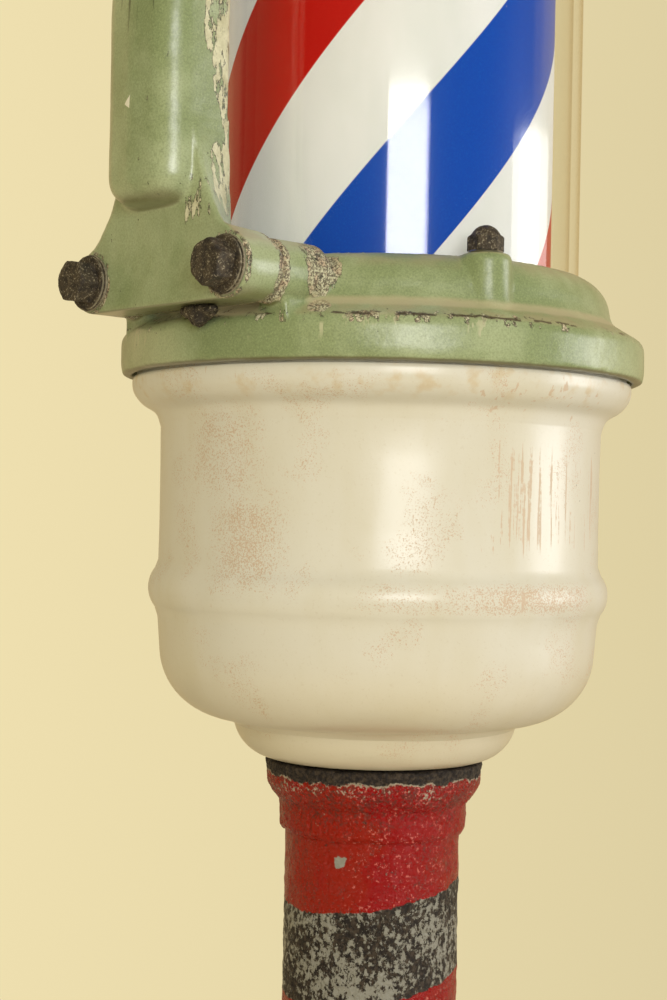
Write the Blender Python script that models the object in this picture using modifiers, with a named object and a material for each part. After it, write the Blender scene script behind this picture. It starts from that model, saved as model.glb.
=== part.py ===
"""Floor-standing barber pole light.

A pipe column on a round iron base carries an enamelled bowl with the drive motor in it.
A green iron ring is studded to the bowl and seats the lower end of a glass cylinder; its mirror image
seats the upper end under an enamelled cap, which carries an opal globe light.
One cast side bracket bolts to both rings and holds the upper half up.
A striped drum turns inside the glass on a fixed tube, driven by a pinion and a gear.

Frame: the pole's axis is Z, the floor is z = 0, the side bracket is at -X and the front faces -Y.
Every size below is in millimetres, and the helper functions turn them into metres.
"""

import math

import bmesh
import bpy
from mathutils import Matrix, Vector

MM = 0.001
GAP = 0.3  # clearance between pieces that rest on each other
MERGE = 0.00001  # metres

# --- driving dimensions ---------------------------------------------------------------------

LARGE_STEPS = 28  # segments of a large turned piece
DRUM_STEPS = 42
MIDDLE_STEPS = 14
SMALL_STEPS = 10
SEAM_ANGLE = math.radians(2.3)  # turned outlines stand off the X axis, so no seam meets a hole's middle

COLLAR_TOP = 1020.0  # height of the pipe collar's top above the floor
BOWL_HEIGHT = 195.0  # from the collar to the seam between bowl and ring
BOWL_BOTTOM = COLLAR_TOP + 0.5
LOWER_SEAM = BOWL_BOTTOM + BOWL_HEIGHT
GLASS_LENGTH = 609.6  # 24 in
GLASS_RADIUS = 101.6  # 8 in across
GLASS_WALL = 5.0
GLASS_SEAT = 36.0  # above the seam
MIDDLE = LOWER_SEAM + GLASS_SEAT + GLASS_LENGTH / 2  # the pole's halves mirror about this height
UPPER_SEAM = 2 * MIDDLE - LOWER_SEAM

PIPE_RADIUS = 45.5  # 3 in pipe with its paint
PIPE_WALL = 5.5
BASE_RADIUS = 200.0
ANCHOR_CIRCLE = 174.0

RING_RADIUS = 135.6
RING_LIP = 53.6  # top of the ring above the seam
STUD_CIRCLE = 110.0
STUD_ANGLES = (0.0, 110.0, 250.0)
STUD_RADIUS = 4.0
BOSS_RADIUS = 11.5
BOSS_TOP = 53.9

BOLT_SPACING = 100.5  # between the two bolts of a bracket foot
BOLT_HEIGHT = 40.6  # above the seam
BOLT_RADIUS = 5.0
EYE_RADIUS = 14.8  # the round eyes at the ends of a bracket foot
FOOT_BACK = 129.0  # distances from the pole's axis
FOOT_FRONT = 151.0
POST_FRONT = 168.0
POST_HALF_WIDTH = 26.0
POST_CORNER = 14.0  # radius of the post's front corners
POST_BACK_CORNER = 4.0
POST_END = 77.0  # lower end of the thick post above the seam
WASHER_RADIUS = 13.8
WASHER_THICKNESS = 3.0
BOLT_HEX = 19.0  # across flats
BOLT_HEAD_FRONT = FOOT_FRONT + 12.8

PLATE_TOP = 9.3  # top of the motor plate above the seam
PLATE_THICKNESS = 3.0
DRUM_RADIUS = 87.3
DRUM_WALL = 1.2
DRUM_START = 25.0  # above the seam
TUBE_RADIUS = 10.65
TUBE_BORE = 8.5

GEAR_TEETH = 48
PINION_TEETH = 12
MODULE = 2.5
ADDENDUM = 0.8 * MODULE
DEDENDUM = 1.05 * MODULE
BACKLASH = 0.35
PRESSURE_ANGLE = math.radians(20)
GEAR_BOTTOM = 14.0  # above the seam
GEAR_THICKNESS = 8.0
SHAFT_OFFSET = MODULE * (GEAR_TEETH + PINION_TEETH) / 2

CAP_HEIGHT = 118.0
FITTER_HEIGHT = 22.0
GLOBE_RADIUS = 101.6  # 8 in
GLOBE_NECK = 49.5
GLOBE_WALL = 3.0

# --- finishes: colour, roughness, metallic --------------------------------------------------

FINISHES = {
    "green_enamel": ((0.20, 0.30, 0.13), 0.30, 0.0),
    "cream_enamel": ((0.76, 0.69, 0.50), 0.28, 0.0),
    "pipe_paint": ((0.42, 0.05, 0.03), 0.55, 0.0),
    "base_paint": ((0.17, 0.25, 0.11), 0.40, 0.0),
    "weathered_steel": ((0.12, 0.10, 0.08), 0.65, 0.8),
    "bright_steel": ((0.62, 0.60, 0.56), 0.35, 1.0),
    "brass": ((0.62, 0.45, 0.20), 0.35, 1.0),
    "rubber": ((0.03, 0.03, 0.03), 0.80, 0.0),
    "drum_stripes": ((0.85, 0.83, 0.76), 0.40, 0.0),
    "clear_glass": ((0.90, 0.95, 0.92), 0.05, 0.0),
    "opal_glass": ((0.92, 0.90, 0.85), 0.20, 0.0),
    "black_plastic": ((0.03, 0.03, 0.03), 0.50, 0.0),
    "varnished_wire": ((0.35, 0.12, 0.05), 0.45, 0.0),
}

# --- helpers --------------------------------------------------------------------------------


def new_collection(name, shown):
    collection = bpy.data.collections.new(name)
    bpy.context.scene.collection.children.link(collection)
    collection.hide_render = not shown
    return collection


def new_finish(name):
    colour, roughness, metallic = FINISHES[name]
    finish = bpy.data.materials.new(name)
    finish.use_nodes = True
    shader = finish.node_tree.nodes["Principled BSDF"]
    shader.inputs["Base Color"].default_value = (*colour, 1)
    shader.inputs["Roughness"].default_value = roughness
    shader.inputs["Metallic"].default_value = metallic
    return finish


def place(name, mesh, finish):
    """An object of the pole in its collection, with its finish."""
    piece = bpy.data.objects.new(name, mesh)
    parts.objects.link(piece)
    if not mesh.materials:
        mesh.materials.append(finishes[finish])
    return piece


def arc(centre, radius, start, end, steps):
    """Points on a circle in the (radius, height) plane, between two angles in degrees."""
    angles = [math.radians(start + (end - start) * i / steps) for i in range(steps + 1)]
    return [(centre[0] + radius * math.cos(a), centre[1] + radius * math.sin(a)) for a in angles]


def raised(outline, height):
    return [(r, z + height) for r, z in outline]


def flipped(outline):
    """The outline mirrored about the middle of the glass, still running down its outer side."""
    return [(r, 2 * MIDDLE - z) for r, z in reversed(outline)]


def turned(name, outline, finish, steps, at=(0, 0), hollow=False):
    """A turned piece. The outline runs down the outer side; a hollow one closes on itself."""
    mesh = bpy.data.meshes.new(name)
    count = len(outline)
    edges = [(i, i + 1) for i in range(count - 1)]
    if hollow:
        edges.append((count - 1, 0))
    east, north = math.cos(SEAM_ANGLE) * MM, math.sin(SEAM_ANGLE) * MM
    mesh.from_pydata([(r * east, r * north, z * MM) for r, z in outline], edges, [])
    piece = place(name, mesh, finish)
    piece.location = (at[0] * MM, at[1] * MM, 0)
    screw = piece.modifiers.new("turn", "SCREW")
    screw.steps = screw.render_steps = steps
    screw.use_merge_vertices = True
    screw.merge_threshold = MERGE
    screw.use_normal_calculate = False
    return piece


def disc(name, radius, bottom, top, finish, steps, at=(0, 0), bore=0.0):
    """A plain round piece with an optional bore."""
    if bore:
        outline = [(bore, top), (radius, top), (radius, bottom), (bore, bottom)]
    else:
        outline = [(0, top), (radius, top), (radius, bottom), (0, bottom)]
    return turned(name, outline, finish, steps, at, hollow=bool(bore))


def prism(name, outline, start, end, finish, frame):
    """A flat outline of (u, v) points made solid between two distances along its normal.

    frame turns (u, v, distance) into the pole's x, y, z."""
    mesh = bpy.data.meshes.new(name)
    work = bmesh.new()
    corners = [work.verts.new(Vector((u, v, start)) * MM) for u, v in outline]
    face = work.faces.new(corners)
    moved = bmesh.ops.extrude_face_region(work, geom=[face])["geom"]
    verts = [v for v in moved if isinstance(v, bmesh.types.BMVert)]
    bmesh.ops.translate(work, verts=verts, vec=(0, 0, (end - start) * MM))
    bmesh.ops.transform(work, matrix=frame, verts=work.verts)
    bmesh.ops.recalc_face_normals(work, faces=work.faces)
    work.to_mesh(mesh)
    work.free()
    return place(name, mesh, finish)


def hexagon(across_flats, at=(0, 0)):
    return [
        (at[0] + across_flats / math.sqrt(3) * math.cos(a), at[1] + across_flats / math.sqrt(3) * math.sin(a))
        for a in (math.radians(60 * i) for i in range(6))
    ]


def circle(radius, steps, at=(0, 0)):
    turns = (2 * math.pi * i / steps for i in range(steps))
    return [(at[0] + radius * math.cos(a), at[1] + radius * math.sin(a)) for a in turns]


def box(name, low, high, finish):
    mesh = bpy.data.meshes.new(name)
    work = bmesh.new()
    bmesh.ops.create_cube(work, size=1)
    middle = [(a + b) / 2 * MM for a, b in zip(low, high)]
    size = [(b - a) * MM for a, b in zip(low, high)]
    bmesh.ops.scale(work, vec=size, verts=work.verts)
    bmesh.ops.translate(work, vec=middle, verts=work.verts)
    work.to_mesh(mesh)
    work.free()
    return place(name, mesh, finish)


def combine(piece, helper, operation, solver):
    """Joins a helper solid to a piece, or cuts it out, and hides the helper."""
    boolean = piece.modifiers.new(helper.name, "BOOLEAN")
    boolean.operation = operation
    boolean.solver = solver
    boolean.object = helper
    for collection in helper.users_collection:
        collection.objects.unlink(helper)
    cutters.objects.link(helper)
    helper.hide_render = True
    helper.display_type = "WIRE"


def join(piece, *helpers, solver="EXACT"):
    for helper in helpers:
        combine(piece, helper, "UNION", solver)


def cut(piece, *helpers, solver="EXACT"):
    for helper in helpers:
        combine(piece, helper, "DIFFERENCE", solver)


def around(angle, radius):
    """The (x, y) of a point at an angle, in degrees from +X, round the pole."""
    a = math.radians(angle)
    return (radius * math.cos(a), radius * math.sin(a))


UPRIGHT = Matrix.Identity(4)
OUTWARD = Matrix(((0, 0, -1, 0), (1, 0, 0, 0), (0, 1, 0, 0), (0, 0, 0, 1)))  # (y, z, distance towards -X)

# --- base, pipe and collar ------------------------------------------------------------------


def floor_base():
    """Round iron base: a flat rim for the anchors, a swept skirt and a hub that grips the pipe."""
    outline = [(PIPE_RADIUS + GAP, 126), (55, 126), (59, 120), (59, 112), (64, 92), (76, 66), (98, 42)]
    outline += [(128, 27), (152, 21), (194, 17), (BASE_RADIUS, 11), (BASE_RADIUS, 0), (PIPE_RADIUS + GAP, 0)]
    base = turned("floor_base", outline, "base_paint", LARGE_STEPS, hollow=True)
    for index in range(4):
        spot = around(45 + 90 * index, ANCHOR_CIRCLE)
        cut(base, disc(f"anchor_hole_{index + 1}", 6.6, -5, 40, "base_paint", SMALL_STEPS, spot))
        pad = disc(f"anchor_pad_{index + 1}", 15, 17.2, 40, "base_paint", SMALL_STEPS, spot)
        cut(base, pad)
        head = prism(f"floor_anchor_{index + 1}", hexagon(19, spot), 17.5, 27, "weathered_steel", UPRIGHT)
        join(head, disc(f"anchor_shank_{index + 1}", 6, 0.5, 20, "weathered_steel", SMALL_STEPS, spot))


def pipe():
    outline = [(PIPE_RADIUS - PIPE_WALL, COLLAR_TOP - 4), (PIPE_RADIUS, COLLAR_TOP - 4)]
    outline += [(PIPE_RADIUS, 6), (PIPE_RADIUS - PIPE_WALL, 6)]
    turned("pipe", outline, "pipe_paint", LARGE_STEPS, hollow=True)


def pipe_collar():
    """Flared collar on the pipe's end, with a spigot that passes through the bowl's floor."""
    outline = [(20, 12), (26, 12), (26, 0), (55.6, 0), (56.7, -1.2), (56, -6.4), (55.6, -12.4)]
    outline += [(52.5, -17.5), (48.8, -21.6), (48.5, -33.4), (47.6, -36), (PIPE_RADIUS + GAP, -37.4)]
    outline += [(PIPE_RADIUS + GAP, -3.7), (20, -3.7)]
    turned("pipe_collar", raised(outline, COLLAR_TOP), "pipe_paint", LARGE_STEPS, hollow=True)
    nut = prism("bowl_locknut", hexagon(66), BOWL_BOTTOM + 4.3, BOWL_BOTTOM + 11, "weathered_steel", UPRIGHT)
    bore = disc("locknut_bore", 26 + GAP, COLLAR_TOP, COLLAR_TOP + 20, "weathered_steel", LARGE_STEPS)
    cut(nut, bore)


# --- bowl and cap ---------------------------------------------------------------------------


SHEET = 4.0  # thickness of the bowl's and the cap's enamelled sheet
ROLLED_RIM = [(127.6, 5.0), (127.6, 0.0), (129.4, 0.0), (129.9, -2.5)]  # from its top edge down to the wall
ROLLED_RIM += [(129.0, -8.0), (124.6, -13.6), (117.0, -18.0), (114.2, -25.0)]


def stud_holes(shell, name, bottom, top):
    """Three holes for the studs that clamp a shell's rim to its ring."""
    for index, angle in enumerate(STUD_ANGLES):
        spot = around(angle, STUD_CIRCLE)
        hole = f"{name}_stud_hole_{index + 1}"
        cut(shell, disc(hole, STUD_RADIUS + GAP, bottom, top, "cream_enamel", SMALL_STEPS, spot))


def bowl():
    """Motor bowl, with a bead round it and a stepped floor that sits on the pipe collar."""
    bead, corner, tier = (103.2, 87.0), (77.0, 57.0), (52.0, 22.0)
    outline = raised(ROLLED_RIM, BOWL_HEIGHT)
    outline += [*arc(bead, 16.2, 42, -42, 4), *arc(corner, 36, 0, -90, 5)]
    outline += [*arc(tier, 22, -10, -78, 2), (26 + GAP, 0), (26 + GAP, SHEET)]
    outline += [(58, SHEET), (76, 25), *arc(corner, 32, -60, 0, 2), (110.2, 170)]
    outline += [(113.4, 178.5), (124.4, 187), (125.0, 196), (104, 196), (104, 200)]
    outline = raised(outline, BOWL_BOTTOM)
    shell = turned("bowl", outline, "cream_enamel", LARGE_STEPS, hollow=True)
    stud_holes(shell, "bowl", LOWER_SEAM - 8, LOWER_SEAM + 20)


def top_cap():
    """Enamelled cap, the bowl's shape made shallower, with a flat top for the globe's fitter."""
    bead, corner = (103.2, 60.0), (79.0, 74.0)
    upward = [(r, -z) for r, z in ROLLED_RIM]
    upward += [*arc(bead, 16.2, -42, 42, 4), *arc(corner, 34, 0, 80, 5)]
    upward += [(72, 110), (62, CAP_HEIGHT), (24, CAP_HEIGHT), (24, CAP_HEIGHT - SHEET)]
    upward += [(60, CAP_HEIGHT - SHEET), *arc(corner, 30, 65, 0, 2), (110.2, 25)]
    upward += [(113.4, 16.5), (124.4, 8), (125.0, -1), (104, -1), (104, -5)]
    outline = raised(list(reversed(upward)), UPPER_SEAM)
    shell = turned("top_cap", outline, "cream_enamel", LARGE_STEPS, hollow=True)
    stud_holes(shell, "cap", UPPER_SEAM - 20, UPPER_SEAM + 8)


# --- rings ----------------------------------------------------------------------------------


def mirrored(piece, upper):
    """Turns a lower piece's place into its upper twin's by mirroring it about the middle height."""
    if upper:
        piece.matrix_world = Matrix.Translation((0, 0, 2 * MIDDLE * MM)) @ Matrix.Diagonal((1, 1, -1, 1))
    return piece


def ring(name, upper):
    """Iron ring: a flange over the bowl's rim, a sloped shelf and a round-shouldered collar for the glass.

    Its cuts use the Manifold solver, because the Exact one leaves open edges where they cross."""

    def helper(suffix, outline, at=(0, 0), steps=LARGE_STEPS):
        return turned(f"{name}_{suffix}", raised(outline, LOWER_SEAM), "green_enamel", steps, at)

    def level(radius, top, bottom):
        return [(0, top), (radius, top), (radius, bottom), (0, bottom)]

    outline = [(0, RING_LIP), *arc((98.2, 34.65), 19.5, 73, 10, 4), (119.6, 30.0), (130.4, 23.4)]
    outline += [(134.4, 20.4), (RING_RADIUS, 16.0), (RING_RADIUS, 4.0), (132.0, GAP), (0, GAP)]
    body = helper("body", outline)
    rebate = helper("rebate", level(128.8, PLATE_TOP + GAP, -10))
    hollow = helper("hollow", level(112, 28, PLATE_TOP))
    cut(body, rebate, hollow, solver="MANIFOLD")
    bosses = []
    for index, angle in enumerate(STUD_ANGLES):
        spot = around(angle, STUD_CIRCLE)
        boss = level(BOSS_RADIUS, BOSS_TOP, PLATE_TOP + 0.8)
        bosses.append(helper(f"boss_{index + 1}", boss, spot, MIDDLE_STEPS))
    ears = []
    for side in (-1, 1):
        centre = (side * BOLT_SPACING / 2, LOWER_SEAM + BOLT_HEIGHT)
        label = "left" if side < 0 else "right"
        round_ear = circle(EYE_RADIUS, MIDDLE_STEPS, centre)
        ears.append(prism(f"{name}_ear_{label}", round_ear, 98, FOOT_BACK - GAP, "green_enamel", OUTWARD))
        web = [(centre[0] - 9, LOWER_SEAM + 18), (centre[0] + 9, LOWER_SEAM + 18)]
        web += [(centre[0] + 9, centre[1]), (centre[0] - 9, centre[1])]
        ears.append(prism(f"{name}_web_{label}", web, 104, FOOT_BACK - 6, "green_enamel", OUTWARD))
    join(body, *bosses, *ears, solver="MANIFOLD")
    openings = [helper("glass_seat", level(GLASS_RADIUS + 0.7, 70, GLASS_SEAT - 2))]
    openings += [helper("throat", level(90.5, 60, 0))]
    for index, angle in enumerate(STUD_ANGLES):
        hole = level(STUD_RADIUS + GAP, 60, 0)
        openings.append(helper(f"stud_hole_{index + 1}", hole, around(angle, STUD_CIRCLE), SMALL_STEPS))
    for side in (-1, 1):
        spot = (side * BOLT_SPACING / 2, LOWER_SEAM + BOLT_HEIGHT)
        hole = circle(BOLT_RADIUS + GAP, SMALL_STEPS, spot)
        label = "left" if side < 0 else "right"
        openings.append(prism(f"{name}_bolt_hole_{label}", hole, 106, 140, "green_enamel", OUTWARD))
    cut(body, *openings, solver="MANIFOLD")
    body.name = name
    mirrored(body, upper)
    if upper:
        for cutter in (rebate, hollow, *bosses, *ears, *openings):
            cutter.matrix_world = body.matrix_world @ cutter.matrix_basis


def ring_fasteners(side, upper):
    """Studs through bowl, plate and ring, with a domed nut on each boss."""
    for index, angle in enumerate(STUD_ANGLES):
        spot = around(angle, STUD_CIRCLE)
        top = LOWER_SEAM + BOSS_TOP + 9
        head = LOWER_SEAM + 0.7
        shank = [(0, top), (STUD_RADIUS, top), (STUD_RADIUS, head), (7, head), (7, head - 5), (0, head - 5)]
        stud = turned(f"{side}_stud_{index + 1}", shank, "bright_steel", SMALL_STEPS)
        nut_base = LOWER_SEAM + BOSS_TOP + GAP
        dome = [(0, 13.2), (3.4, 12.6), (6.0, 10.4), (7.3, 7.4), (7.6, 1.2), (8.6, 1.2), (8.6, 0)]
        dome += [(STUD_RADIUS + GAP, 0), (STUD_RADIUS + GAP, 10.2), (0, 10.2)]
        nut = turned(f"{side}_cap_nut_{index + 1}", raised(dome, nut_base), "weathered_steel", 12)
        for piece in (stud, nut):
            mirrored(piece, upper)
            piece.matrix_world = Matrix.Translation((spot[0] * MM, spot[1] * MM, 0)) @ piece.matrix_world


# --- side bracket ---------------------------------------------------------------------------


def foot_outline():
    """Half of a bracket foot, seen along its bolts, from the middle of its lower edge up to the post."""
    eye = (BOLT_SPACING / 2, BOLT_HEIGHT)
    outline = [(0, BOLT_HEIGHT - EYE_RADIUS), *arc(eye, EYE_RADIUS, -90, 70, 8)]
    outline += [(50.2, 58.6), (44.4, 66.2), (38.4, 75.5), (32.0, 87.0), (27.8, 98.0)]
    return [*outline, (POST_HALF_WIDTH, 110.0)]


def bracket():
    """One casting: a round-edged post with a flared two-bolt foot at each end."""
    low, high = LOWER_SEAM + POST_END, UPPER_SEAM - POST_END
    width, front, back = POST_HALF_WIDTH, POST_FRONT, FOOT_BACK
    section = arc((-(front - POST_CORNER), width - POST_CORNER), POST_CORNER, 180, 90, 4)
    section += arc((-(back + POST_BACK_CORNER), width - POST_BACK_CORNER), POST_BACK_CORNER, 90, 0, 2)
    section += [(x, -y) for x, y in reversed(section)]
    post = prism("bracket", section, low, high, "green_enamel", UPRIGHT)
    half = foot_outline()
    outline = half + [(-u, v) for u, v in reversed(half[1:])]
    for upper in (False, True):
        label = "upper" if upper else "lower"
        level = [(u, UPPER_SEAM - v if upper else LOWER_SEAM + v) for u, v in outline]
        foot = prism(f"{label}_foot", level, back, FOOT_FRONT, "green_enamel", OUTWARD)
        join(post, foot)
        for side in (-1, 1):
            height = UPPER_SEAM - BOLT_HEIGHT if upper else LOWER_SEAM + BOLT_HEIGHT
            spot = (side * BOLT_SPACING / 2, height)
            name = f"{label}_{'front' if side < 0 else 'back'}"
            hole = circle(BOLT_RADIUS + GAP, SMALL_STEPS, spot)
            cut(post, prism(f"{name}_bracket_hole", hole, back - 5, FOOT_FRONT + 5, "green_enamel", OUTWARD))
            bracket_bolt(name, spot)


def bracket_bolt(name, spot):
    """Hex bolt and its washer, through a bracket foot into a ring."""
    start = FOOT_FRONT + GAP
    end = start + WASHER_THICKNESS
    washer = prism(f"{name}_washer", circle(WASHER_RADIUS, 20, spot), start, end, "weathered_steel", OUTWARD)
    bore = circle(BOLT_RADIUS + GAP, SMALL_STEPS, spot)
    cut(washer, prism(f"{name}_washer_bore", bore, start - 2, end + 2, "weathered_steel", OUTWARD))
    outline = hexagon(BOLT_HEX, spot)
    head = prism(f"{name}_bolt", outline, end + GAP, BOLT_HEAD_FRONT, "weathered_steel", OUTWARD)
    shank = circle(BOLT_RADIUS, SMALL_STEPS, spot)
    join(head, prism(f"{name}_shank", shank, 108, end + 2, "weathered_steel", OUTWARD))


# --- glass, gaskets, drum -------------------------------------------------------------------


def glass_and_gaskets():
    low, high = LOWER_SEAM + GLASS_SEAT, UPPER_SEAM - GLASS_SEAT
    bore = GLASS_RADIUS - GLASS_WALL
    disc("glass_cylinder", GLASS_RADIUS, low, high, "clear_glass", LARGE_STEPS, bore=bore)
    disc("lower_glass_gasket", GLASS_RADIUS, low - 1.7, low - GAP, "rubber", LARGE_STEPS, bore=94)
    disc("upper_glass_gasket", GLASS_RADIUS, high + GAP, high + 1.7, "rubber", LARGE_STEPS, bore=94)


def motor_plate():
    """Round plate across the bowl's mouth, clamped between ring and rim by the studs."""
    top = LOWER_SEAM + PLATE_TOP
    bottom = top - PLATE_THICKNESS
    plate = disc("motor_plate", 126, bottom, top, "bright_steel", LARGE_STEPS, bore=TUBE_RADIUS + GAP)
    holes = [(around(angle, STUD_CIRCLE), STUD_RADIUS + GAP) for angle in STUD_ANGLES]
    holes += [((SHAFT_OFFSET, 0), 7)]
    for index, (spot, radius) in enumerate(holes):
        hole = f"motor_plate_hole_{index + 1}"
        cut(plate, disc(hole, radius, bottom - 5, top + 5, "bright_steel", SMALL_STEPS, spot))


def motor():
    """Gearcase, laminated core and coil, stacked under the motor plate."""
    under = LOWER_SEAM + PLATE_TOP - PLATE_THICKNESS - GAP
    gearcase = (SHAFT_OFFSET - 24, -34, under - 30), (SHAFT_OFFSET + 22, 34, under)
    box("motor_gearcase", *gearcase, "weathered_steel")
    core_top = under - 30 - GAP
    core = (SHAFT_OFFSET - 22, -30, core_top - 24), (SHAFT_OFFSET + 20, 30, core_top)
    box("motor_core", *core, "weathered_steel")
    coil = [*arc((SHAFT_OFFSET - 14, 14), 6, 90, 180, 2), *arc((SHAFT_OFFSET - 14, -14), 6, 180, 270, 2)]
    coil += [*arc((SHAFT_OFFSET + 12, -14), 6, 270, 360, 2), *arc((SHAFT_OFFSET + 12, 14), 6, 0, 90, 2)]
    coil_top = core_top - 24 - GAP
    prism("motor_coil", coil, coil_top - 20, coil_top, "varnished_wire", UPRIGHT)


def tooth_half_angle(radius, teeth):
    """Half the angle that an involute tooth takes up at a radius."""
    pitch = MODULE * teeth / 2
    base = pitch * math.cos(PRESSURE_ANGLE)
    angle = math.acos(min(1.0, base / radius))
    spread = (math.tan(angle) - angle) - (math.tan(PRESSURE_ANGLE) - PRESSURE_ANGLE)
    at_pitch = (math.pi * MODULE / 2 - BACKLASH) / 2 / pitch
    return at_pitch - spread


def toothed_outline(teeth, turn, at):
    pitch = MODULE * teeth / 2
    radii = (pitch - DEDENDUM, pitch, pitch + ADDENDUM)
    outline = []
    for tooth in range(teeth):
        middle = 2 * math.pi * tooth / teeth + turn
        flank = [(r, tooth_half_angle(r, teeth)) for r in radii]
        points = [(r, middle - half) for r, half in flank]
        points += [(r, middle + half) for r, half in reversed(flank)]
        outline += [(at[0] + r * math.cos(a), at[1] + r * math.sin(a)) for r, a in points]
    return outline


def gears():
    low, high = LOWER_SEAM + GEAR_BOTTOM, LOWER_SEAM + GEAR_BOTTOM + GEAR_THICKNESS
    gear = prism("drum_gear", toothed_outline(GEAR_TEETH, 0, (0, 0)), low, high, "brass", UPRIGHT)
    cut(gear, disc("drum_gear_bore", 14, low - 5, high + 5, "brass", MIDDLE_STEPS))
    spot = (SHAFT_OFFSET, 0)
    turn = math.pi / PINION_TEETH
    outline = toothed_outline(PINION_TEETH, turn, spot)
    pinion = prism("motor_pinion", outline, low + 0.5, high - 0.5, "brass", UPRIGHT)
    bottom = LOWER_SEAM + PLATE_TOP - PLATE_THICKNESS
    join(pinion, disc("pinion_shaft", 5, bottom, high - 2, "brass", SMALL_STEPS, spot))
    collar_low = LOWER_SEAM + PLATE_TOP + GAP
    disc("thrust_collar", 19, collar_low, low - GAP, "brass", MIDDLE_STEPS, bore=TUBE_RADIUS + GAP)


def spider(name, upper):
    """End disc of the drum: a dished plate with a bush that turns on the fixed tube, and four light holes."""
    low = LOWER_SEAM + GEAR_BOTTOM + GEAR_THICKNESS + GAP
    rim = DRUM_RADIUS - DRUM_WALL - GAP
    bush = TUBE_RADIUS + GAP
    outline = [(bush, 26), (15, 26), (15, 2), (rim - 1.5, 2), (rim - 1.5, 11), (rim, 11)]
    outline += [(rim, 0), (bush, 0)]
    outline = raised(outline, low)
    outline = flipped(outline) if upper else outline
    plate = turned(name, outline, "bright_steel", LARGE_STEPS, hollow=True)
    low, high = min(z for _, z in outline), max(z for _, z in outline)
    for index in range(4):
        spot = around(45 + 90 * index, 50)
        cut(plate, disc(f"{name}_hole_{index + 1}", 20, low - 5, high + 5, "bright_steel", SMALL_STEPS, spot))


def drum():
    low, high = LOWER_SEAM + DRUM_START, UPPER_SEAM - DRUM_START
    disc("drum", DRUM_RADIUS, low, high, "drum_stripes", DRUM_STEPS, bore=DRUM_RADIUS - DRUM_WALL)
    spider("drum_lower_spider", upper=False)
    spider("drum_upper_spider", upper=True)


def bulb_outline(radius, stem, length):
    """A light bulb standing on z = 0: its stem, then the round bulb."""
    start = math.degrees(math.asin(stem / radius))
    centre = length - radius
    outline = arc((0, centre), radius, 90, start - 90, 7)
    outline[0] = (0, length)
    return outline + [(stem, 0), (0, 0)]


def lamps():
    """The fixed tube, the lamp inside the drum and the lamp in the globe."""
    low, high = LOWER_SEAM + PLATE_TOP - 14, UPPER_SEAM + CAP_HEIGHT + 2
    disc("centre_tube", TUBE_RADIUS, low, high, "bright_steel", MIDDLE_STEPS, bore=TUBE_BORE)
    bore = TUBE_RADIUS + GAP
    under = LOWER_SEAM + PLATE_TOP - PLATE_THICKNESS - GAP
    nut = prism("tube_locknut", hexagon(30), low + 2, under, "bright_steel", UPRIGHT)
    cut(nut, disc("tube_locknut_bore", bore, low - 5, high, "bright_steel", MIDDLE_STEPS))
    bottom, top = MIDDLE - 30, MIDDLE - 12
    clip = disc("drum_lamp_holder", 16, bottom, top, "black_plastic", MIDDLE_STEPS, bore=bore)
    spot = (38, 0)
    arm = box("drum_lamp_arm", (13, -6, MIDDLE - 28), (38, 6, MIDDLE - 20), "black_plastic")
    cup = disc("drum_lamp_cup", 15, bottom, MIDDLE + 16, "black_plastic", MIDDLE_STEPS, spot)
    join(clip, arm, cup)
    bulb = raised(bulb_outline(20, 11, 66), MIDDLE + 16 + GAP)
    turned("drum_lamp", bulb, "opal_glass", MIDDLE_STEPS, spot)
    seat = UPPER_SEAM + CAP_HEIGHT + 2 + GAP
    disc("globe_lamp_holder", 20, seat, seat + 46, "black_plastic", MIDDLE_STEPS)
    bulb = raised(bulb_outline(30, 13, 105), seat + 46 + GAP)
    turned("globe_lamp", bulb, "opal_glass", MIDDLE_STEPS)


# --- globe ----------------------------------------------------------------------------------


def globe():
    """Fitter cup with three thumb screws, and the opal globe whose lipped neck they hold."""
    seat = UPPER_SEAM + CAP_HEIGHT + GAP
    outline = [(54.5, FITTER_HEIGHT), (58, FITTER_HEIGHT), (56.5, 18), (56.5, 5), (60, 0), (12, 0), (12, 1.6)]
    outline += [(54.5, 1.6)]
    fitter = turned("globe_fitter", raised(outline, seat), "brass", LARGE_STEPS, hollow=True)
    height = seat + 12
    for index in range(3):
        angle = 90 + 120 * index
        turn = Matrix.Rotation(math.radians(angle), 4, "Z")
        along_x = Matrix(((0, 0, 1, 0), (1, 0, 0, 0), (0, 1, 0, 0), (0, 0, 0, 1)))
        spot = (0, height)
        place_in = turn @ along_x
        hole = prism(f"thumb_screw_hole_{index + 1}", circle(2.4, 10, spot), 50, 62, "brass", place_in)
        cut(fitter, hole)
        shank = prism(f"thumb_screw_{index + 1}", circle(2.0, 10, spot), 50.4, 68, "brass", place_in)
        head = prism(f"thumb_screw_head_{index + 1}", circle(5.5, 12, spot), 63, 67.4, "brass", place_in)
        join(shank, head)
    centre = seat + 10 + math.sqrt(GLOBE_RADIUS**2 - GLOBE_NECK**2) + 10
    inner = GLOBE_RADIUS - GLOBE_WALL
    neck_bottom = seat + 4
    start = math.degrees(math.asin(GLOBE_NECK / GLOBE_RADIUS)) - 90
    outline = arc((0, centre), GLOBE_RADIUS, 90, start, 9)
    outline[0] = (0, centre + GLOBE_RADIUS)
    lip = GLOBE_NECK + 2.2
    outline += [(GLOBE_NECK, neck_bottom + 4), (lip, neck_bottom + 3), (lip, neck_bottom)]
    outline += [(GLOBE_NECK - GLOBE_WALL, neck_bottom)]
    start = math.degrees(math.asin((GLOBE_NECK - GLOBE_WALL) / inner)) - 90
    inside = arc((0, centre), inner, start, 90, 5)
    inside[-1] = (0, centre + inner)
    turned("globe", outline + inside, "opal_glass", LARGE_STEPS)


# --- assembly -------------------------------------------------------------------------------

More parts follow.
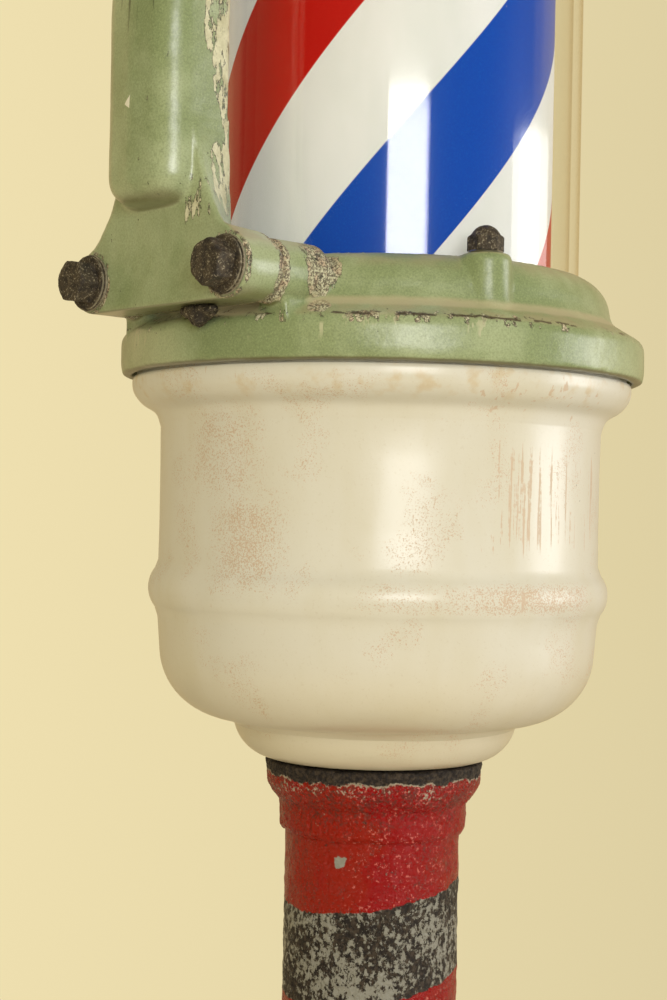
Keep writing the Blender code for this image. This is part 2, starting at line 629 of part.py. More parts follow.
for leftover in list(bpy.data.objects):
    bpy.data.objects.remove(leftover)
parts = new_collection("barber_pole_light", shown=True)
cutters = new_collection("cutters", shown=False)
finishes = {name: new_finish(name) for name in FINISHES}

floor_base()
pipe()
pipe_collar()
bowl()
top_cap()
ring("lower_ring", upper=False)
ring("upper_ring", upper=True)
ring_fasteners("lower", upper=False)
ring_fasteners("upper", upper=True)
bracket()
glass_and_gaskets()
motor_plate()
motor()
gears()
drum()
lamps()
globe()
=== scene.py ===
# %% [markdown]
# # A worn barber pole light
#
# This lesson dresses a floor-standing barber pole. Its engineering model is already fixed: an iron
# base, a pipe, an enamelled motor bowl, two iron rings with a glass cylinder between them, a turning
# striped drum, a side bracket, a cap and a globe. Every piece made here takes the place of one of
# those solids and keeps its size. What is added is what an old pole shows: soft cast edges, thick
# brushed paint, chips down to the cream undercoat, rusty bolts and enamel worn by hands and rain.

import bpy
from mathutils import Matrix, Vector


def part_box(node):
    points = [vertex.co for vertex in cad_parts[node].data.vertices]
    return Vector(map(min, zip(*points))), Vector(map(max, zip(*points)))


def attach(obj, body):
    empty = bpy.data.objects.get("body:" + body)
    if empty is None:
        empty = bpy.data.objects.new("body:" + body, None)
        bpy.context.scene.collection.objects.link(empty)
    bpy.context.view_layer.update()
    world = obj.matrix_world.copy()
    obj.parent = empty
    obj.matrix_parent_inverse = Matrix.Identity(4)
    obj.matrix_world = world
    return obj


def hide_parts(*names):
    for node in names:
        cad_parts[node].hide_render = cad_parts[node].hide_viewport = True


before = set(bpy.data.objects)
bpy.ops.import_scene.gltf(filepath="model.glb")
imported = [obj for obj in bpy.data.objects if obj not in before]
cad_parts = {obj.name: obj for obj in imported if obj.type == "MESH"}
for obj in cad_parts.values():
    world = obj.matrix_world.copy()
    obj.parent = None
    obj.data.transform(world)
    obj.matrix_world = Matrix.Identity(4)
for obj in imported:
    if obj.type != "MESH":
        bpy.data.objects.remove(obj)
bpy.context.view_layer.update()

# %% Modules and the few heights that everything hangs on
import math

import bpy
from mathutils import Euler, Matrix, Vector

MM = 0.001
glass_low, glass_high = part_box("glass_cylinder")
SEAM = glass_low.z - 36 * MM  # where the lower ring meets the bowl
MIDDLE = (glass_low.z + glass_high.z) / 2  # the pole's halves mirror about this height
COLLAR_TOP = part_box("pipe_collar")[1].z - 12 * MM
BOWL_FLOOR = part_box("bowl")[0].z
CAP_FLOOR = 2 * MIDDLE - SEAM
BOLT_ASIDE = 50.25  # millimetres from the pole's middle plane to a bracket bolt
BOLT_LEVEL = 40.6  # millimetres from a seam to a bracket bolt
STEPS = 160  # segments of a large turned piece
print("seam at", round(SEAM, 4), "m, middle of the glass at", round(MIDDLE, 4), "m")

# %% [markdown]
# ## The camera and the light
#
# The pole is looked at from the side of its bracket, close up and level with the bowl. The camera
# could track a target, but a fixed place and three small angles keep the framing exact. The light is
# two tall soft boxes, one nearly beside the camera and one far to the right, so each round piece gets
# two upright highlights. Three wide fills, which nothing mirrors, open up the shadows.

# %% Camera
FRONT = 224.4  # degrees round the pole from +X at which the camera stands
CAMERA_REACH = 0.9006
CAMERA_HEIGHT = 1.144


def around(angle, radius):
    """The (x, y) of a point at an angle in degrees round the pole."""
    turn = math.radians(angle)
    return radius * math.cos(turn), radius * math.sin(turn)


def spot_at(angle, radius):
    """The (x, y) in metres of a point whose radius is in millimetres."""
    return tuple(c * MM for c in around(angle, radius))


def turned(angle, axis="Z"):
    """The matrix of a turn in degrees."""
    return Matrix.Rotation(math.radians(angle), 4, axis)


camera = bpy.data.objects.new("camera", bpy.data.cameras.new("camera"))
bpy.context.scene.collection.objects.link(camera)
camera.data.lens = 61.76
camera.data.sensor_width = 36
heading = Euler((math.radians(90.65), 0, math.radians(FRONT - 270 + 1.51))).to_matrix().to_4x4()
stand = Matrix.Translation((*around(FRONT, CAMERA_REACH), CAMERA_HEIGHT))
camera.matrix_world = stand @ heading @ turned(1.16)
bpy.context.scene.camera = camera
print("the camera looks at", round(FRONT), "degrees from", CAMERA_REACH, "m")


# %% Lights
def softbox(name, angle, reach, height, width, tall, power, tint=(1, 1, 1), mirrored=True):
    """A tall rectangular lamp that faces the pole, and that shiny things may mirror."""
    lamp = bpy.data.lights.new(name, "AREA")
    lamp.shape = "RECTANGLE"
    lamp.size, lamp.size_y = width, tall
    lamp.energy = power
    lamp.color = tint
    spot = bpy.data.objects.new(name, lamp)
    bpy.context.scene.collection.objects.link(spot)
    spot.location = (*around(angle, reach), height)
    spot.rotation_euler = (math.radians(90), 0, math.radians(angle + 90))
    spot.visible_glossy = mirrored


softbox("key_softbox", 237, 2.3, 1.48, 0.92, 0.85, 22)
softbox("side_softbox", 318, 2.3, 1.30, 1.00, 1.09, 16)
softbox("top_fill", 265, 3.0, 2.9, 2.0, 1.2, 17, mirrored=False)
softbox("left_fill", 200, 3.2, 1.9, 1.6, 2.0, 17, tint=(1.0, 0.85, 0.38), mirrored=False)
softbox("back_fill", 70, 3.0, 2.6, 1.6, 1.6, 6, mirrored=False)
print("five soft lamps")

# %% [markdown]
# ## Turning a profile
#
# Bowl, pipe, glass and globe are all round, so they are turned like work on a lathe. In edit mode one
# vertex is walked along the profile by extruding it, and Spin sweeps the chain round the axis. A Screw
# modifier would give the same shape; walking the profile shows better how it grows. Round shoulders
# are computed as arcs, so each profile lists only the points that matter.


# %% The lathe
def only(piece):
    """Leaves one object selected and active, since an operator acts on all that is selected."""
    bpy.ops.object.select_all(action="DESELECT")
    piece.select_set(True)
    bpy.context.view_layer.objects.active = piece


def edit(piece):
    """Opens a piece in edit mode with all of it selected."""
    only(piece)
    bpy.ops.object.mode_set(mode="EDIT")
    bpy.ops.mesh.select_all(action="SELECT")


def arc(centre, radius, start, end, steps):
    """Points on a circle between two angles in degrees."""
    turns = [math.radians(start + (end - start) * i / steps) for i in range(steps + 1)]
    return [(centre[0] + radius * math.cos(a), centre[1] + radius * math.sin(a)) for a in turns]


def on_curve(p, q, r, s, t):
    """A number between q and r, on the Catmull-Rom curve through four numbers."""
    return 0.5 * (2 * q + (r - p) * t + (2 * p - 5 * q + 4 * r - s) * t * t + (3 * q - p - 3 * r + s) * t**3)


def flowing(points, steps=6):
    """A smooth line through points."""
    line = []
    padded = [points[0], *points, points[-1]]
    for four in zip(padded, padded[1:], padded[2:], padded[3:]):
        line += [tuple(on_curve(*numbers, i / steps) for numbers in zip(*four)) for i in range(steps)]
    return [*line, points[-1]]


def walk(name, points):
    """Starts an object at the first of some points in metres and extrudes one vertex through the rest."""
    bpy.ops.object.select_all(action="DESELECT")
    bpy.ops.mesh.primitive_plane_add(size=MM, location=points[0])
    piece = bpy.context.object
    piece.name = piece.data.name = name
    bpy.ops.object.mode_set(mode="EDIT")
    bpy.ops.mesh.merge(type="CENTER")
    for here, there in zip(points, points[1:]):
        stride = Vector(there) - Vector(here)
        bpy.ops.mesh.extrude_region_move(TRANSFORM_OT_translate={"value": stride})
    bpy.ops.mesh.select_all(action="SELECT")
    return piece


def settle():
    """Leaves the selected object's place in its mesh."""
    bpy.ops.object.transform_apply(location=True, rotation=True, scale=True)


def close_up(piece):
    """Merges doubles, turns every face outwards, and leaves the place in the mesh."""
    bpy.ops.mesh.select_all(action="SELECT")
    bpy.ops.mesh.remove_doubles(threshold=MM / 50)
    bpy.ops.mesh.normals_make_consistent(inside=False)
    bpy.ops.object.mode_set(mode="OBJECT")
    settle()
    return piece


def lathe(name, outline, base=0.0, at=(0, 0), steps=STEPS, hollow=False):
    """Turns (radius, height) points in millimetres round a vertical axis, above a base in metres."""
    chain = [*outline, outline[0]] if hollow else outline
    piece = walk(name, [(at[0] + r * MM, at[1], base + z * MM) for r, z in chain])
    bpy.ops.mesh.spin(steps=steps, angle=math.tau, center=(*at, 0), axis=(0, 0, 1))
    return close_up(piece)


def modify(piece, kind, **settings):
    """Adds one modifier and applies it."""
    only(piece)
    modifier = piece.modifiers.new(kind.lower(), kind)
    for name, value in settings.items():
        setattr(modifier, name, value)
    bpy.ops.object.modifier_apply(modifier=modifier.name)
    return piece


def shade(piece, angle=35):
    """Smooth shading that keeps the edges sharper than an angle."""
    only(piece)
    bpy.ops.object.shade_smooth_by_angle(angle=math.radians(angle))
    return piece


print("profile helpers ready")

# %% [markdown]
# ## Writing materials as sums
#
# Paint that chips, rusts and gathers dirt is a stack of masks, and masks are arithmetic. A material
# could be wired node by node, but then the arithmetic is lost in the wiring. So a small class wraps a
# socket and overloads the operators: `1 - mask` adds a Math node, and one method adds any other node.


# %% The wire class
class Wire:
    """An output socket of a material's node tree, with arithmetic."""

    def __init__(self, socket):
        self.socket = socket

    def node(self, kind, settings=None, inputs=None, output=0):
        """Adds a node: its settings first, then a value or a wire for each named or numbered socket."""
        tree = self.socket.id_data
        made = tree.nodes.new(kind)
        for name, value in (settings or {}).items():
            setattr(made, name, value)
        for key, value in (inputs or {}).items():
            if isinstance(value, Wire):
                tree.links.new(value.socket, made.inputs[key])
            else:
                made.inputs[key].default_value = value
        return Wire(made.outputs[output])

    def maths(self, operation, *others):
        return self.node("ShaderNodeMath", {"operation": operation}, dict(enumerate((self, *others))))

    def __add__(self, other):
        return self.maths("ADD", other)

    __radd__ = __add__

    def __sub__(self, other):
        return self.maths("SUBTRACT", other)

    def __rsub__(self, other):
        return self.maths("MULTIPLY_ADD", -1, other)

    def __mul__(self, other):
        return self.maths("MULTIPLY", other)

    __rmul__ = __mul__

    def __truediv__(self, other):
        return self.maths("DIVIDE", other)

    def most(self, other):
        return self.maths("MAXIMUM", other)

    def size(self):
        return self.maths("ABSOLUTE")


# %% Patterns and layers
def paint(red, green, blue):
    """A colour given as on a paint chart, 0 to 255, as Blender's linear colour."""
    return (*((c / 255) ** 2.2 for c in (red, green, blue)), 1)


def part_of(place, axis):
    return place.node("ShaderNodeSeparateXYZ", {}, {0: place}, output=axis)


def stretched(place, scale=(1, 1, 1), turn=0.0):
    inputs = {"Vector": place, "Scale": scale, "Rotation": (0, 0, math.radians(turn))}
    return place.node("ShaderNodeMapping", {}, inputs)


def noise(place, size, detail=3.0, roughness=0.55):
    """Cloudy noise whose blots measure about a size in millimetres."""
    inputs = {"Vector": place, "Scale": 1000 / size, "Detail": detail, "Roughness": roughness}
    return place.node("ShaderNodeTexNoise", {}, inputs)


def specks(place, size):
    """The distance to scattered points, for pinholes and small spots."""
    return place.node("ShaderNodeTexVoronoi", {}, {"Vector": place, "Scale": 1000 / size})


def rise(value, low, high):
    """0 up to low, 1 from high on and smooth between; low above high makes it a fall."""
    limits = {"Value": value, "From Min": low, "From Max": high}
    return value.node("ShaderNodeMapRange", {"interpolation_type": "SMOOTHSTEP"}, limits)


def window(value, low, high, edge):
    """1 between two values, with soft edges."""
    return rise(value, low - edge, low + edge) * rise(value, high + edge, high - edge)


def layer(mask, under, over):
    """The colour over where the mask is 1, and under where it is 0."""
    return mask.node("ShaderNodeMix", {"data_type": "RGBA"}, {0: mask, 6: under, 7: over}, output=2)


def painted(colour, *coats):
    """Lays coats over a colour, each a mask and the paint that shows where the mask is 1."""
    for mask, *tone in coats:
        colour = layer(mask, colour, paint(*tone))
    return colour


def bump(height, depth, under=None):
    """A bump map whose height wire is worth a depth in millimetres."""
    inputs = {"Height": height, "Distance": depth * MM, "Strength": 1.0}
    if under:
        inputs["Normal"] = under
    return height.node("ShaderNodeBump", {}, inputs)


finishes = {}


def new_finish(name, **constants):
    """Adds a finish, and gives its shader and a wire with the piece's own coordinates."""
    material = finishes[name] = bpy.data.materials.new(name)
    material.use_nodes = True
    shader = material.node_tree.nodes["Principled BSDF"]
    for socket, value in constants.items():
        shader.inputs[socket.replace("_", " ")].default_value = value
    coordinates = material.node_tree.nodes.new("ShaderNodeTexCoord")
    return shader, Wire(coordinates.outputs["Object"])


def join_to(shader, **wires):
    for socket, wire in wires.items():
        wire.socket.id_data.links.new(wire.socket, shader.inputs[socket.replace("_", " ")])


def turn_from_front(place):
    """Degrees round the pole from where the camera stands, rising to its right."""
    faced = stretched(place, turn=-FRONT)
    return part_of(faced, 1).maths("ARCTAN2", part_of(faced, 0)) * (180 / math.pi)


def distance(place, point):
    """Metres from a fixed point."""
    return place.node("ShaderNodeVectorMath", {"operation": "DISTANCE"}, {0: place, 1: point}, output=1)


def triangle(place, across, up):
    """1 inside a small ragged triangle about an origin, in millimetres."""
    shaky = 0.6 * (noise(place, 2.2, 2) - 0.5)
    low = rise(up + 0.63 * across + shaky, -2.1, -1.9)
    high = rise(0.93 * across - up + shaky, -1.5, -1.3)
    return low * high * rise(across - 0.05 * up + shaky, 1.9, 1.7)


def height_above_seam(place):
    """Millimetres above the lower seam, counted from the upper seam in the pole's upper half."""
    reach = (part_of(place, 2) - MIDDLE).size()
    return (MIDDLE - SEAM - reach) * 1000


print("material helpers ready")

# %% [markdown]
# ## The surround
#
# Behind the pole stands a pale yellow wall, a little darker to the right, and the room in front of it
# is dim. One flat background can't say that, so the camera, the shiny surfaces and the soft light each
# see their own: shiny things mirror the wall at their edges only, and all else gets an even glow.


# %% Surround
def toward(ray, angle):
    """How nearly a ray points along a level direction, from -1 to 1."""
    inputs = {0: ray, 1: (*around(angle, 1), 0)}
    return ray.node("ShaderNodeVectorMath", {"operation": "DOT_PRODUCT"}, inputs, output=1)


def surround():
    world = bpy.data.worlds.new("pale surround")
    world.use_nodes = True
    tree = world.node_tree
    ray = Wire(tree.nodes.new("ShaderNodeTexCoord").outputs["Generated"])
    seen = tree.nodes.new("ShaderNodeLightPath").outputs

    def between(value, start, stop, low, high):
        limits = {"From Min": start, "From Max": stop, "To Min": low, "To Max": high}
        return ray.node("ShaderNodeMapRange", {}, {"Value": value, **limits})

    def background(colour, strength):
        return ray.node("ShaderNodeBackground", {}, {"Color": (*colour, 1), "Strength": strength})

    mirrored = background((0.92, 0.70, 0.35), between(toward(ray, FRONT - 180), 0.14, 0.20, 0.05, 0.66))
    wall = background((0.86, 0.74, 0.43), between(toward(ray, FRONT + 90), -0.3, 0.3, 1.03, 0.80))
    glow = background((0.86, 0.75, 0.52), 0.50)
    lit = ray.node("ShaderNodeMixShader", {}, {0: Wire(seen["Is Glossy Ray"]), 1: glow, 2: mirrored})
    whole = ray.node("ShaderNodeMixShader", {}, {0: Wire(seen["Is Camera Ray"]), 1: lit, 2: wall})
    tree.links.new(whole.socket, tree.nodes["World Output"].inputs["Surface"])
    bpy.context.scene.world = world


surround()
bpy.context.scene.view_settings.view_transform = "Standard"
print("surround:", bpy.context.scene.world.name)

# %% [markdown]
# ## Green paint on cast iron
#
# The rings and the bracket were brushed green over a cream undercoat. A chip is where noise passes a
# threshold, and adding a wear field to that noise makes chips gather where hands and spanners hit.
# A lower threshold of the same noise gives the dark lifted edge round each chip, so the two always fit.


# %% What has worn the castings
def far_from(across, up):
    """The distance of a point from two wires that count from it."""
    return (across * across + up * up).maths("SQRT")


def handled(place, level, side, out, drips):
    """Wear and grime: rubbed post edges, spanner marks at the bolts, and the ring's patches and lip."""
    radius = distance(stretched(place, (1000, 1000, 0)), (0, 0, 0))
    reach = 5.0 + 5.0 * rise(level, 112, 128) + 6.0 * rise(level, 134, 146) - 3.0 * rise(level, 66, 58)
    reach = reach + 8.0 * window(level, 68, 100, 6) + 4.0 * (noise(place, 60) - 0.5)
    strip = rise(out - 130.5, reach + 3.0, reach - 2.0) * rise(side, -22.5, -24.5) * rise(level, 56, 62)
    shoulder = window(out, 148, 158, 2) * rise(side, -19, -22) * window(level, 62, 86, 4)
    from_bolt = far_from(side.size() - BOLT_ASIDE, level - BOLT_LEVEL)
    joint = window(out, 125.0, 132.5, 1.4) * rise(from_bolt, 26, 18)
    seat = window(out, 148, 152, 1) * window(from_bolt, 13.4, 15.5, 0.6)
    under_foot = window(level, 22, 27, 1.5) * window(out, 124, 140, 3) * rise(side.size(), 66, 60)
    from_patch = distance(place, (*around(FRONT - 16, 0.1190), SEAM + 0.043)) * 1000
    tail = (*around(FRONT - 13, 0.1275), (SEAM + 0.024) * 0.32)
    from_tail = distance(stretched(place, (1, 1, 0.32)), tail) * 1000
    patch = (rise(from_patch, 17, 11) * rise(out, 122, 118)).most(rise(from_tail, 7, 4))
    in_sight = window(turn_from_front(place), -10, 40, 3) * (0.45 + 0.55 * drips)
    lip = window(level, 17.0, 23.5, 1.2) * rise(radius, 126, 129) * in_sight.most(0.55 * drips)
    wear = (strip * 0.25).most(shoulder * 0.17).most(joint * 0.32).most(seat * 0.22)
    wear = wear.most(patch * 0.32).most(lip * 0.22).most(under_foot * 0.16)
    return wear, joint.most(patch).most(lip).most(under_foot).most(seat)


def marked(colour, place, level, side, out, drips):
    """A chip and scratches on the post, and drips, a dark edge and dust on the ring's flange."""
    radius = distance(stretched(place, (1000, 1000, 0)), (0, 0, 0))
    chip = triangle(place, 2.0 - side, level - 118.0) * rise(out, 160, 164)
    scratch = rise(noise(stretched(place, (1, 0.9, 0.06)), 3.0, 2, 0.5), 0.690, 0.705) * rise(out, 158, 163)
    wavy = level + 3.0 * (noise(place, 7, 4, 0.6) - 0.5)
    beige = window(wavy, 11, 21, 3) * rise(radius, 128, 131)
    beige = beige * rise(level * 0.010 + drips * 0.6, 0.64, 0.67) * rise(noise(place, 20, 2), 0.55, 0.60)
    broken = noise(place, 13, 5, 0.7) + 0.10 * window(turn_from_front(place), -12, 40, 4)
    edge_line = window(wavy, 20.8, 22.0, 0.4) * rise(radius, 128, 131) * rise(broken, 0.54, 0.57)
    shelf_dust = window(wavy, 25.5, 30.5, 1.5) * window(radius, 115, 126, 1.5)
    return painted(
        colour,
        (chip, 236, 232, 214),
        (scratch * 0.7, 64, 66, 42),
        (beige * 0.65, 192, 190, 156),
        (edge_line * 0.9, 66, 54, 42),
        (shelf_dust * 0.60, 196, 186, 152),
    )


def undercoat(place, grimy):
    """The cream that shows in a chip, and the crumbs of rust that lie on it."""
    cream = layer(rise(noise(place, 9, 5, 0.7), 0.35, 0.7), paint(214, 212, 182), paint(184, 180, 146))
    warm = rise(noise(place, 6, 3), 0.45, 0.60) * grimy
    crumbs = rise(noise(place, 1.1, 4, 0.75) + 0.12 * grimy, 0.57, 0.66)
    black = rise(noise(place, 5, 5, 0.7), 0.58, 0.62) * grimy
    cream = painted(
        cream,
        (warm * 0.60, 190, 158, 134),
        (crumbs * (0.30 + 0.55 * grimy), 82, 70, 58),
        (black * 0.85, 48, 42, 34),
    )
    return cream, crumbs


print("wear and marks ready")


# %% Green enamel
def green_enamel(name, light, dark, with_wear):
    shader, place = new_finish(name, Coat_Roughness=0.31)
    grain = noise(place, 0.9, 2, 0.7)
    up = part_of(place.node("ShaderNodeTexCoord", output=1), 2)
    colour = layer(rise(noise(place, 60, 4, 0.6), 0.36, 0.64), paint(*dark), paint(*light))
    colour = layer(rise(grain, 0.42, 0.72) * 0.34, colour, paint(*(c * 0.66 for c in dark)))
    colour = layer(rise(grain, 0.46, 0.30) * 0.22, colour, paint(*(c * 1.12 for c in light)))
    level = height_above_seam(place)
    side = part_of(place, 1) * 1000
    out = part_of(place, 0) * -1000
    flake = noise(stretched(place, (1, 1, 0.30)), 4.6, 6, 0.68)
    drips = rise(noise(stretched(place, (1, 1, 0.12)), 5, 3), 0.42, 0.62)
    dirt = rise(up, 0.45, 0.9) * rise(noise(place, 14, 4), 0.30, 0.62) * 0.75
    if with_wear:
        wear, grimy = handled(place, level, side, out, drips)
        ragged = flake + wear + 0.03 * rise(noise(place, 45, 2), 0.60, 0.75)
        coat = 0.36 + 0.64 * rise(out, 126, 130)
    else:
        ragged = flake + 0.05 * rise(noise(place, 45, 2), 0.50, 0.75) + rise(level, -400, -1200) * 0.02
        grimy = rise(level, -500, -600)
        coat = flake + 0.1  # patchy gloss
    lifted = rise(ragged, 0.690, 0.704)
    bare = rise(ragged, 0.716, 0.728)
    cream, crumbs = undercoat(place, grimy)
    shaded = rise(up, -0.55, -0.9) * 0.60
    colour = painted(colour, (dirt, 168, 160, 124), (shaded, 98, 88, 46), (lifted, 62, 56, 42))
    colour = layer(bare, colour, cream)
    if with_wear:
        colour = marked(colour, place, level, side, out, drips)
    dots = rise(specks(place, 9), 0.055, 0.035) * rise(noise(place, 30), 0.45, 0.6)
    foot_line = rise(level + 2.0 * noise(place, 10, 3), 3.4, 1.6)
    colour = painted(colour, (dots, 48, 42, 30), (foot_line * 0.7, 84, 78, 46))
    rough = 0.28 + 0.10 * grain + 0.35 * bare + 0.25 * dirt
    relief = bump(noise(place, 20, 3), 0.7)
    relief = bump(noise(place, 2.6, 3) - 1.1 * lifted + 0.4 * crumbs * bare, 0.16, relief)
    join_to(shader, Base_Color=colour, Roughness=rough, Normal=relief, Coat_Weight=coat * (1 - bare))


green_enamel("green_enamel", (166, 178, 138), (136, 150, 106), with_wear=True)
green_enamel("base_paint", (96, 108, 66), (62, 72, 44), with_wear=False)
print("green paints:", sorted(finishes))

# %% [markdown]
# ## Cream enamel
#
# The bowl and the cap are glossy stove enamel. Rubbing has worn it through to a pinkish ground in a few
# patches, rain has drawn tan streaks, and dust sits on the bead. Each patch is a soft window round the
# pole and up its side, and high noise stretched upright breaks it into specks.


# %% Cream enamel
def cream_enamel():
    shader, place = new_finish("cream_enamel", Coat_Roughness=0.23)
    level = height_above_seam(place)
    angle = turn_from_front(place)
    tone = noise(stretched(place, (1, 1, 0.4)), 70, 4, 0.6)
    colour = layer(rise(tone, 0.35, 0.65), paint(214, 209, 191), paint(220, 217, 205))
    # Painted reflection: towards the bowl's floor and the cap's top the cream is painted darker and yellower,
    # standing in for the warm surround mirrored there.
    low = rise(level, -110, -190) * 0.45
    colour = layer(low, colour, paint(206, 190, 150))
    left_patch = window(angle, -42, -24, 7) * window(level, -104, -62, 11)
    left_patch = left_patch.most(0.75 * window(angle, -52, -30, 7) * window(level, -60, -20, 12))
    bead = window(angle, -4, 60, 5) * window(level, -114, -101, 3) * (0.5 + 0.5 * rise(angle, 10, 32))
    everywhere = 0.50 * rise(noise(place, 38, 3), 0.50, 0.68)
    stipple = noise(place, 0.85, 2, 0.8) + 0.20 * (noise(place, 7, 3) - 0.5)
    field = left_patch.most(bead).most(everywhere)
    worn = rise(stipple + 0.15 * field, 0.645, 0.680) * rise(field, 0.08, 0.25)
    smear = noise(stretched(place, (1, 1, 0.16)), 4.0, 4, 0.65)
    rim = window(angle, 20, 62, 5) * window(level, -22, -5, 3) * 0.10
    worn = worn.most(rise(smear + rim + 0.08 * bead, 0.700, 0.720) * rise(level, -118, -112) * 0.8)
    upright = noise(stretched(place, (1, 1, 0.035)), 3.0, 4, 0.65) + 0.16 * (noise(place, 2.0, 3) - 0.5)
    run = window(angle, 24, 70, 4) * window(level, -84, -36, 9)
    run = run * (0.55 + 0.45 * window(angle, 29, 38, 3))
    worn = worn.most(rise(upright + 0.14 * run, 0.660, 0.685) * rise(run, 0.1, 0.4) * 0.85)
    stain = rise(noise(place, 9, 4), 0.50, 0.72) * window(level, -14, 2, 4) * 0.4
    dots = rise(specks(place, 14), 0.030, 0.018) * rise(noise(place, 40), 0.50, 0.60)
    crackle = rise(noise(place, 1.5, 2, 0.6), 0.60, 0.72) * 0.12
    colour = painted(
        colour,
        (worn * 0.62, 196, 158, 122),
        (stain, 200, 168, 108),
        (dots, 84, 66, 44),
        (crackle, 172, 150, 108),
    )
    rough = 0.30 + 0.12 * tone + 0.30 * worn
    relief = bump(noise(place, 30, 2), 0.5)
    relief = bump(noise(place, 1.8, 2) - worn, 0.035, relief)
    join_to(shader, Base_Color=colour, Roughness=rough, Normal=relief, Coat_Weight=0.42 * (1 - worn))


cream_enamel()
print("cream enamel ready")

# %% [markdown]
# ## Pipe paint
#
# The pipe was hand painted in level red and grey bands that wander a little. The red is thick and
# blistered, so its gloss breaks into sparks, and pale pink specks add painted glints to them; the red is
# also painted more orange on the camera's left, a painted warm light. The grey has worn to dark pitted iron.


# %% Pipe paint
BAND = 47.0  # height of one painted band in millimetres
FIRST_EDGE = COLLAR_TOP - 0.0740  # lower edge of the red that covers the collar


def pipe_paint():
    shader, place = new_finish("pipe_paint", Specular_IOR_Level=0.34)
    angle = turn_from_front(place)
    swing = (angle + 55) * (math.pi / 180)
    sway = 8.5 * (1 - swing.maths("COSINE"))
    brush = 5.0 * (noise(place, 26, 3) - 0.5) + 4.0 * (noise(place, 4, 4) - 0.5)
    depth = (FIRST_EDGE - part_of(place, 2)) * 1000 + sway + brush
    cycle = (depth / (2 * BAND)).maths("FRACT")
    grey = rise(depth, -0.25, 0.25) * window(cycle, 0.004, 0.5, 0.003)
    pits = noise(stretched(place, (1, 1, 0.8)), 2.8, 6, 0.75)
    patches = noise(place, 22, 3, 0.6)
    middle = window(angle, -22, 6, 10)
    eaten = pits + 0.50 * (patches - 0.5) + 0.03 * middle
    worn = rise(eaten, 0.478, 0.494)
    steel = layer(rise(noise(place, 2.4, 4, 0.7), 0.42, 0.64), paint(42, 37, 35), paint(76, 66, 56))
    iron = layer(worn, paint(148, 147, 138), steel)
    iron = layer(window(eaten, 0.464, 0.478, 0.004) * 0.5, iron, paint(170, 160, 136))
    # Random tone and painted warm light: the red is painted more orange to the camera's left, standing in for
    # the yellow light from that side, and more crimson to its right.
    blush = noise(place, 24, 3, 0.6)
    right = rise(angle, -18, 8)
    red = layer(rise(blush + 0.30 * (right - 0.5), 0.42, 0.60), paint(152, 30, 4), paint(150, 6, 12))
    top = (COLLAR_TOP - part_of(place, 2)) * 1000
    scab = noise(place, 1.8, 5, 0.75) + 0.30 * (noise(place, 13, 3) - 0.5) + 0.07 * rise(top, 34, 16)
    rust = rise(scab, 0.53, 0.66)
    red = layer(rust * 0.72, red, paint(88, 50, 40))
    holes = rise(noise(place, 3.6, 5, 0.7), 0.665, 0.680)
    red = layer(holes, red, layer(rise(pits, 0.45, 0.55), paint(140, 130, 116), paint(52, 46, 42)))
    ragged = top + 10 * (noise(place, 9, 5, 0.68) - 0.5)
    ragged_top = rise(ragged, 6.8, 6.3)
    pale_edge = window(ragged, 6.3, 7.3, 0.3) * rise(noise(place, 5, 3), 0.42, 0.50)
    speckle = noise(place, 1.9, 4, 0.7) + 0.16 * window(top, 8, 15, 4) * rise(blush, 0.46, 0.60)
    flecks = rise(speckle, 0.68, 0.70)
    reach = distance(place, (*around(FRONT - 21, 0.0455), COLLAR_TOP - 0.0470))
    scar = rise(reach * 1000 + 8 * (noise(place, 4, 4) - 0.5), 3.5, 3.2)
    # Painted glints: pale pink specks on the side to the camera's right stand in for sparks of lamplight on
    # the glossy red.
    painted_glint_noise = noise(place, 1.7, 3, 0.6) + 0.10 * (noise(place, 12, 3) - 0.5)
    gloss = rise(painted_glint_noise, 0.60, 0.67) * window(angle, -16, 60, 7)
    red = layer(gloss * 0.60, red, paint(232, 140, 128))
    colour = painted(layer(grey, red, iron), (flecks * (1 - grey) * 0.85, 176, 166, 148))
    colour = layer(ragged_top, colour, steel)
    colour = painted(colour, (pale_edge * 0.8, 176, 168, 148), (scar, 150, 150, 140))
    bare = (grey * worn).most(ragged_top)
    rough = 0.16 + 0.38 * bare + 0.30 * rust
    relief = bump(noise(place, 7, 3), 1.2)
    blisters = noise(place, 2.2, 4, 0.6) - 0.10 * bare - 0.16 * holes
    relief = bump(blisters, 2.2, relief)
    join_to(shader, Base_Color=colour, Roughness=rough, Normal=relief)


pipe_paint()
print("pipe paint in bands of", BAND, "mm")

# %% [markdown]
# ## Metals
#
# Bolt heads and nuts are dark and pitted, with pale mineral specks in the pits. Studs, plates and the
# centre tube are bright steel, and the gears and the globe's fitter are brass. Each metal has its own
# grain, a roughness that varies with it, and a little tarnish.


# %% Metals
def weathered_steel():
    shader, place = new_finish("weathered_steel")
    crust = noise(place, 5, 5, 0.7)
    fine = noise(place, 1.1, 4, 0.75)
    colour = layer(rise(crust, 0.38, 0.62), paint(50, 44, 38), paint(92, 82, 68))
    pale = rise(fine + 0.25 * (crust - 0.5), 0.56, 0.63)
    pits = rise(noise(place, 3, 4), 0.60, 0.70)
    colour = painted(colour, (pale * 0.70, 180, 170, 144), (pits * 0.7, 30, 26, 24))
    reach = far_from((part_of(place, 1) * 1000).size() - BOLT_ASIDE, height_above_seam(place) - BOLT_LEVEL)
    out = part_of(place, 0) * -1000
    edge = rise(reach + 2.4 * (noise(place, 4, 3) - 0.5), 12.6, 13.2) * window(out, 151.2, 153.8, 0.2)
    colour = layer(edge * (1 - window(out, 152.3, 152.9, 0.1)) * 0.65, colour, paint(172, 164, 140))
    shine = 0.45 * rise(crust, 0.42, 0.60) * (1 - pale)
    relief = bump(crust, 1.0)
    relief = bump(fine, 0.45, relief)
    join_to(shader, Base_Color=colour, Roughness=0.44 + 0.3 * fine, Metallic=shine, Normal=relief)


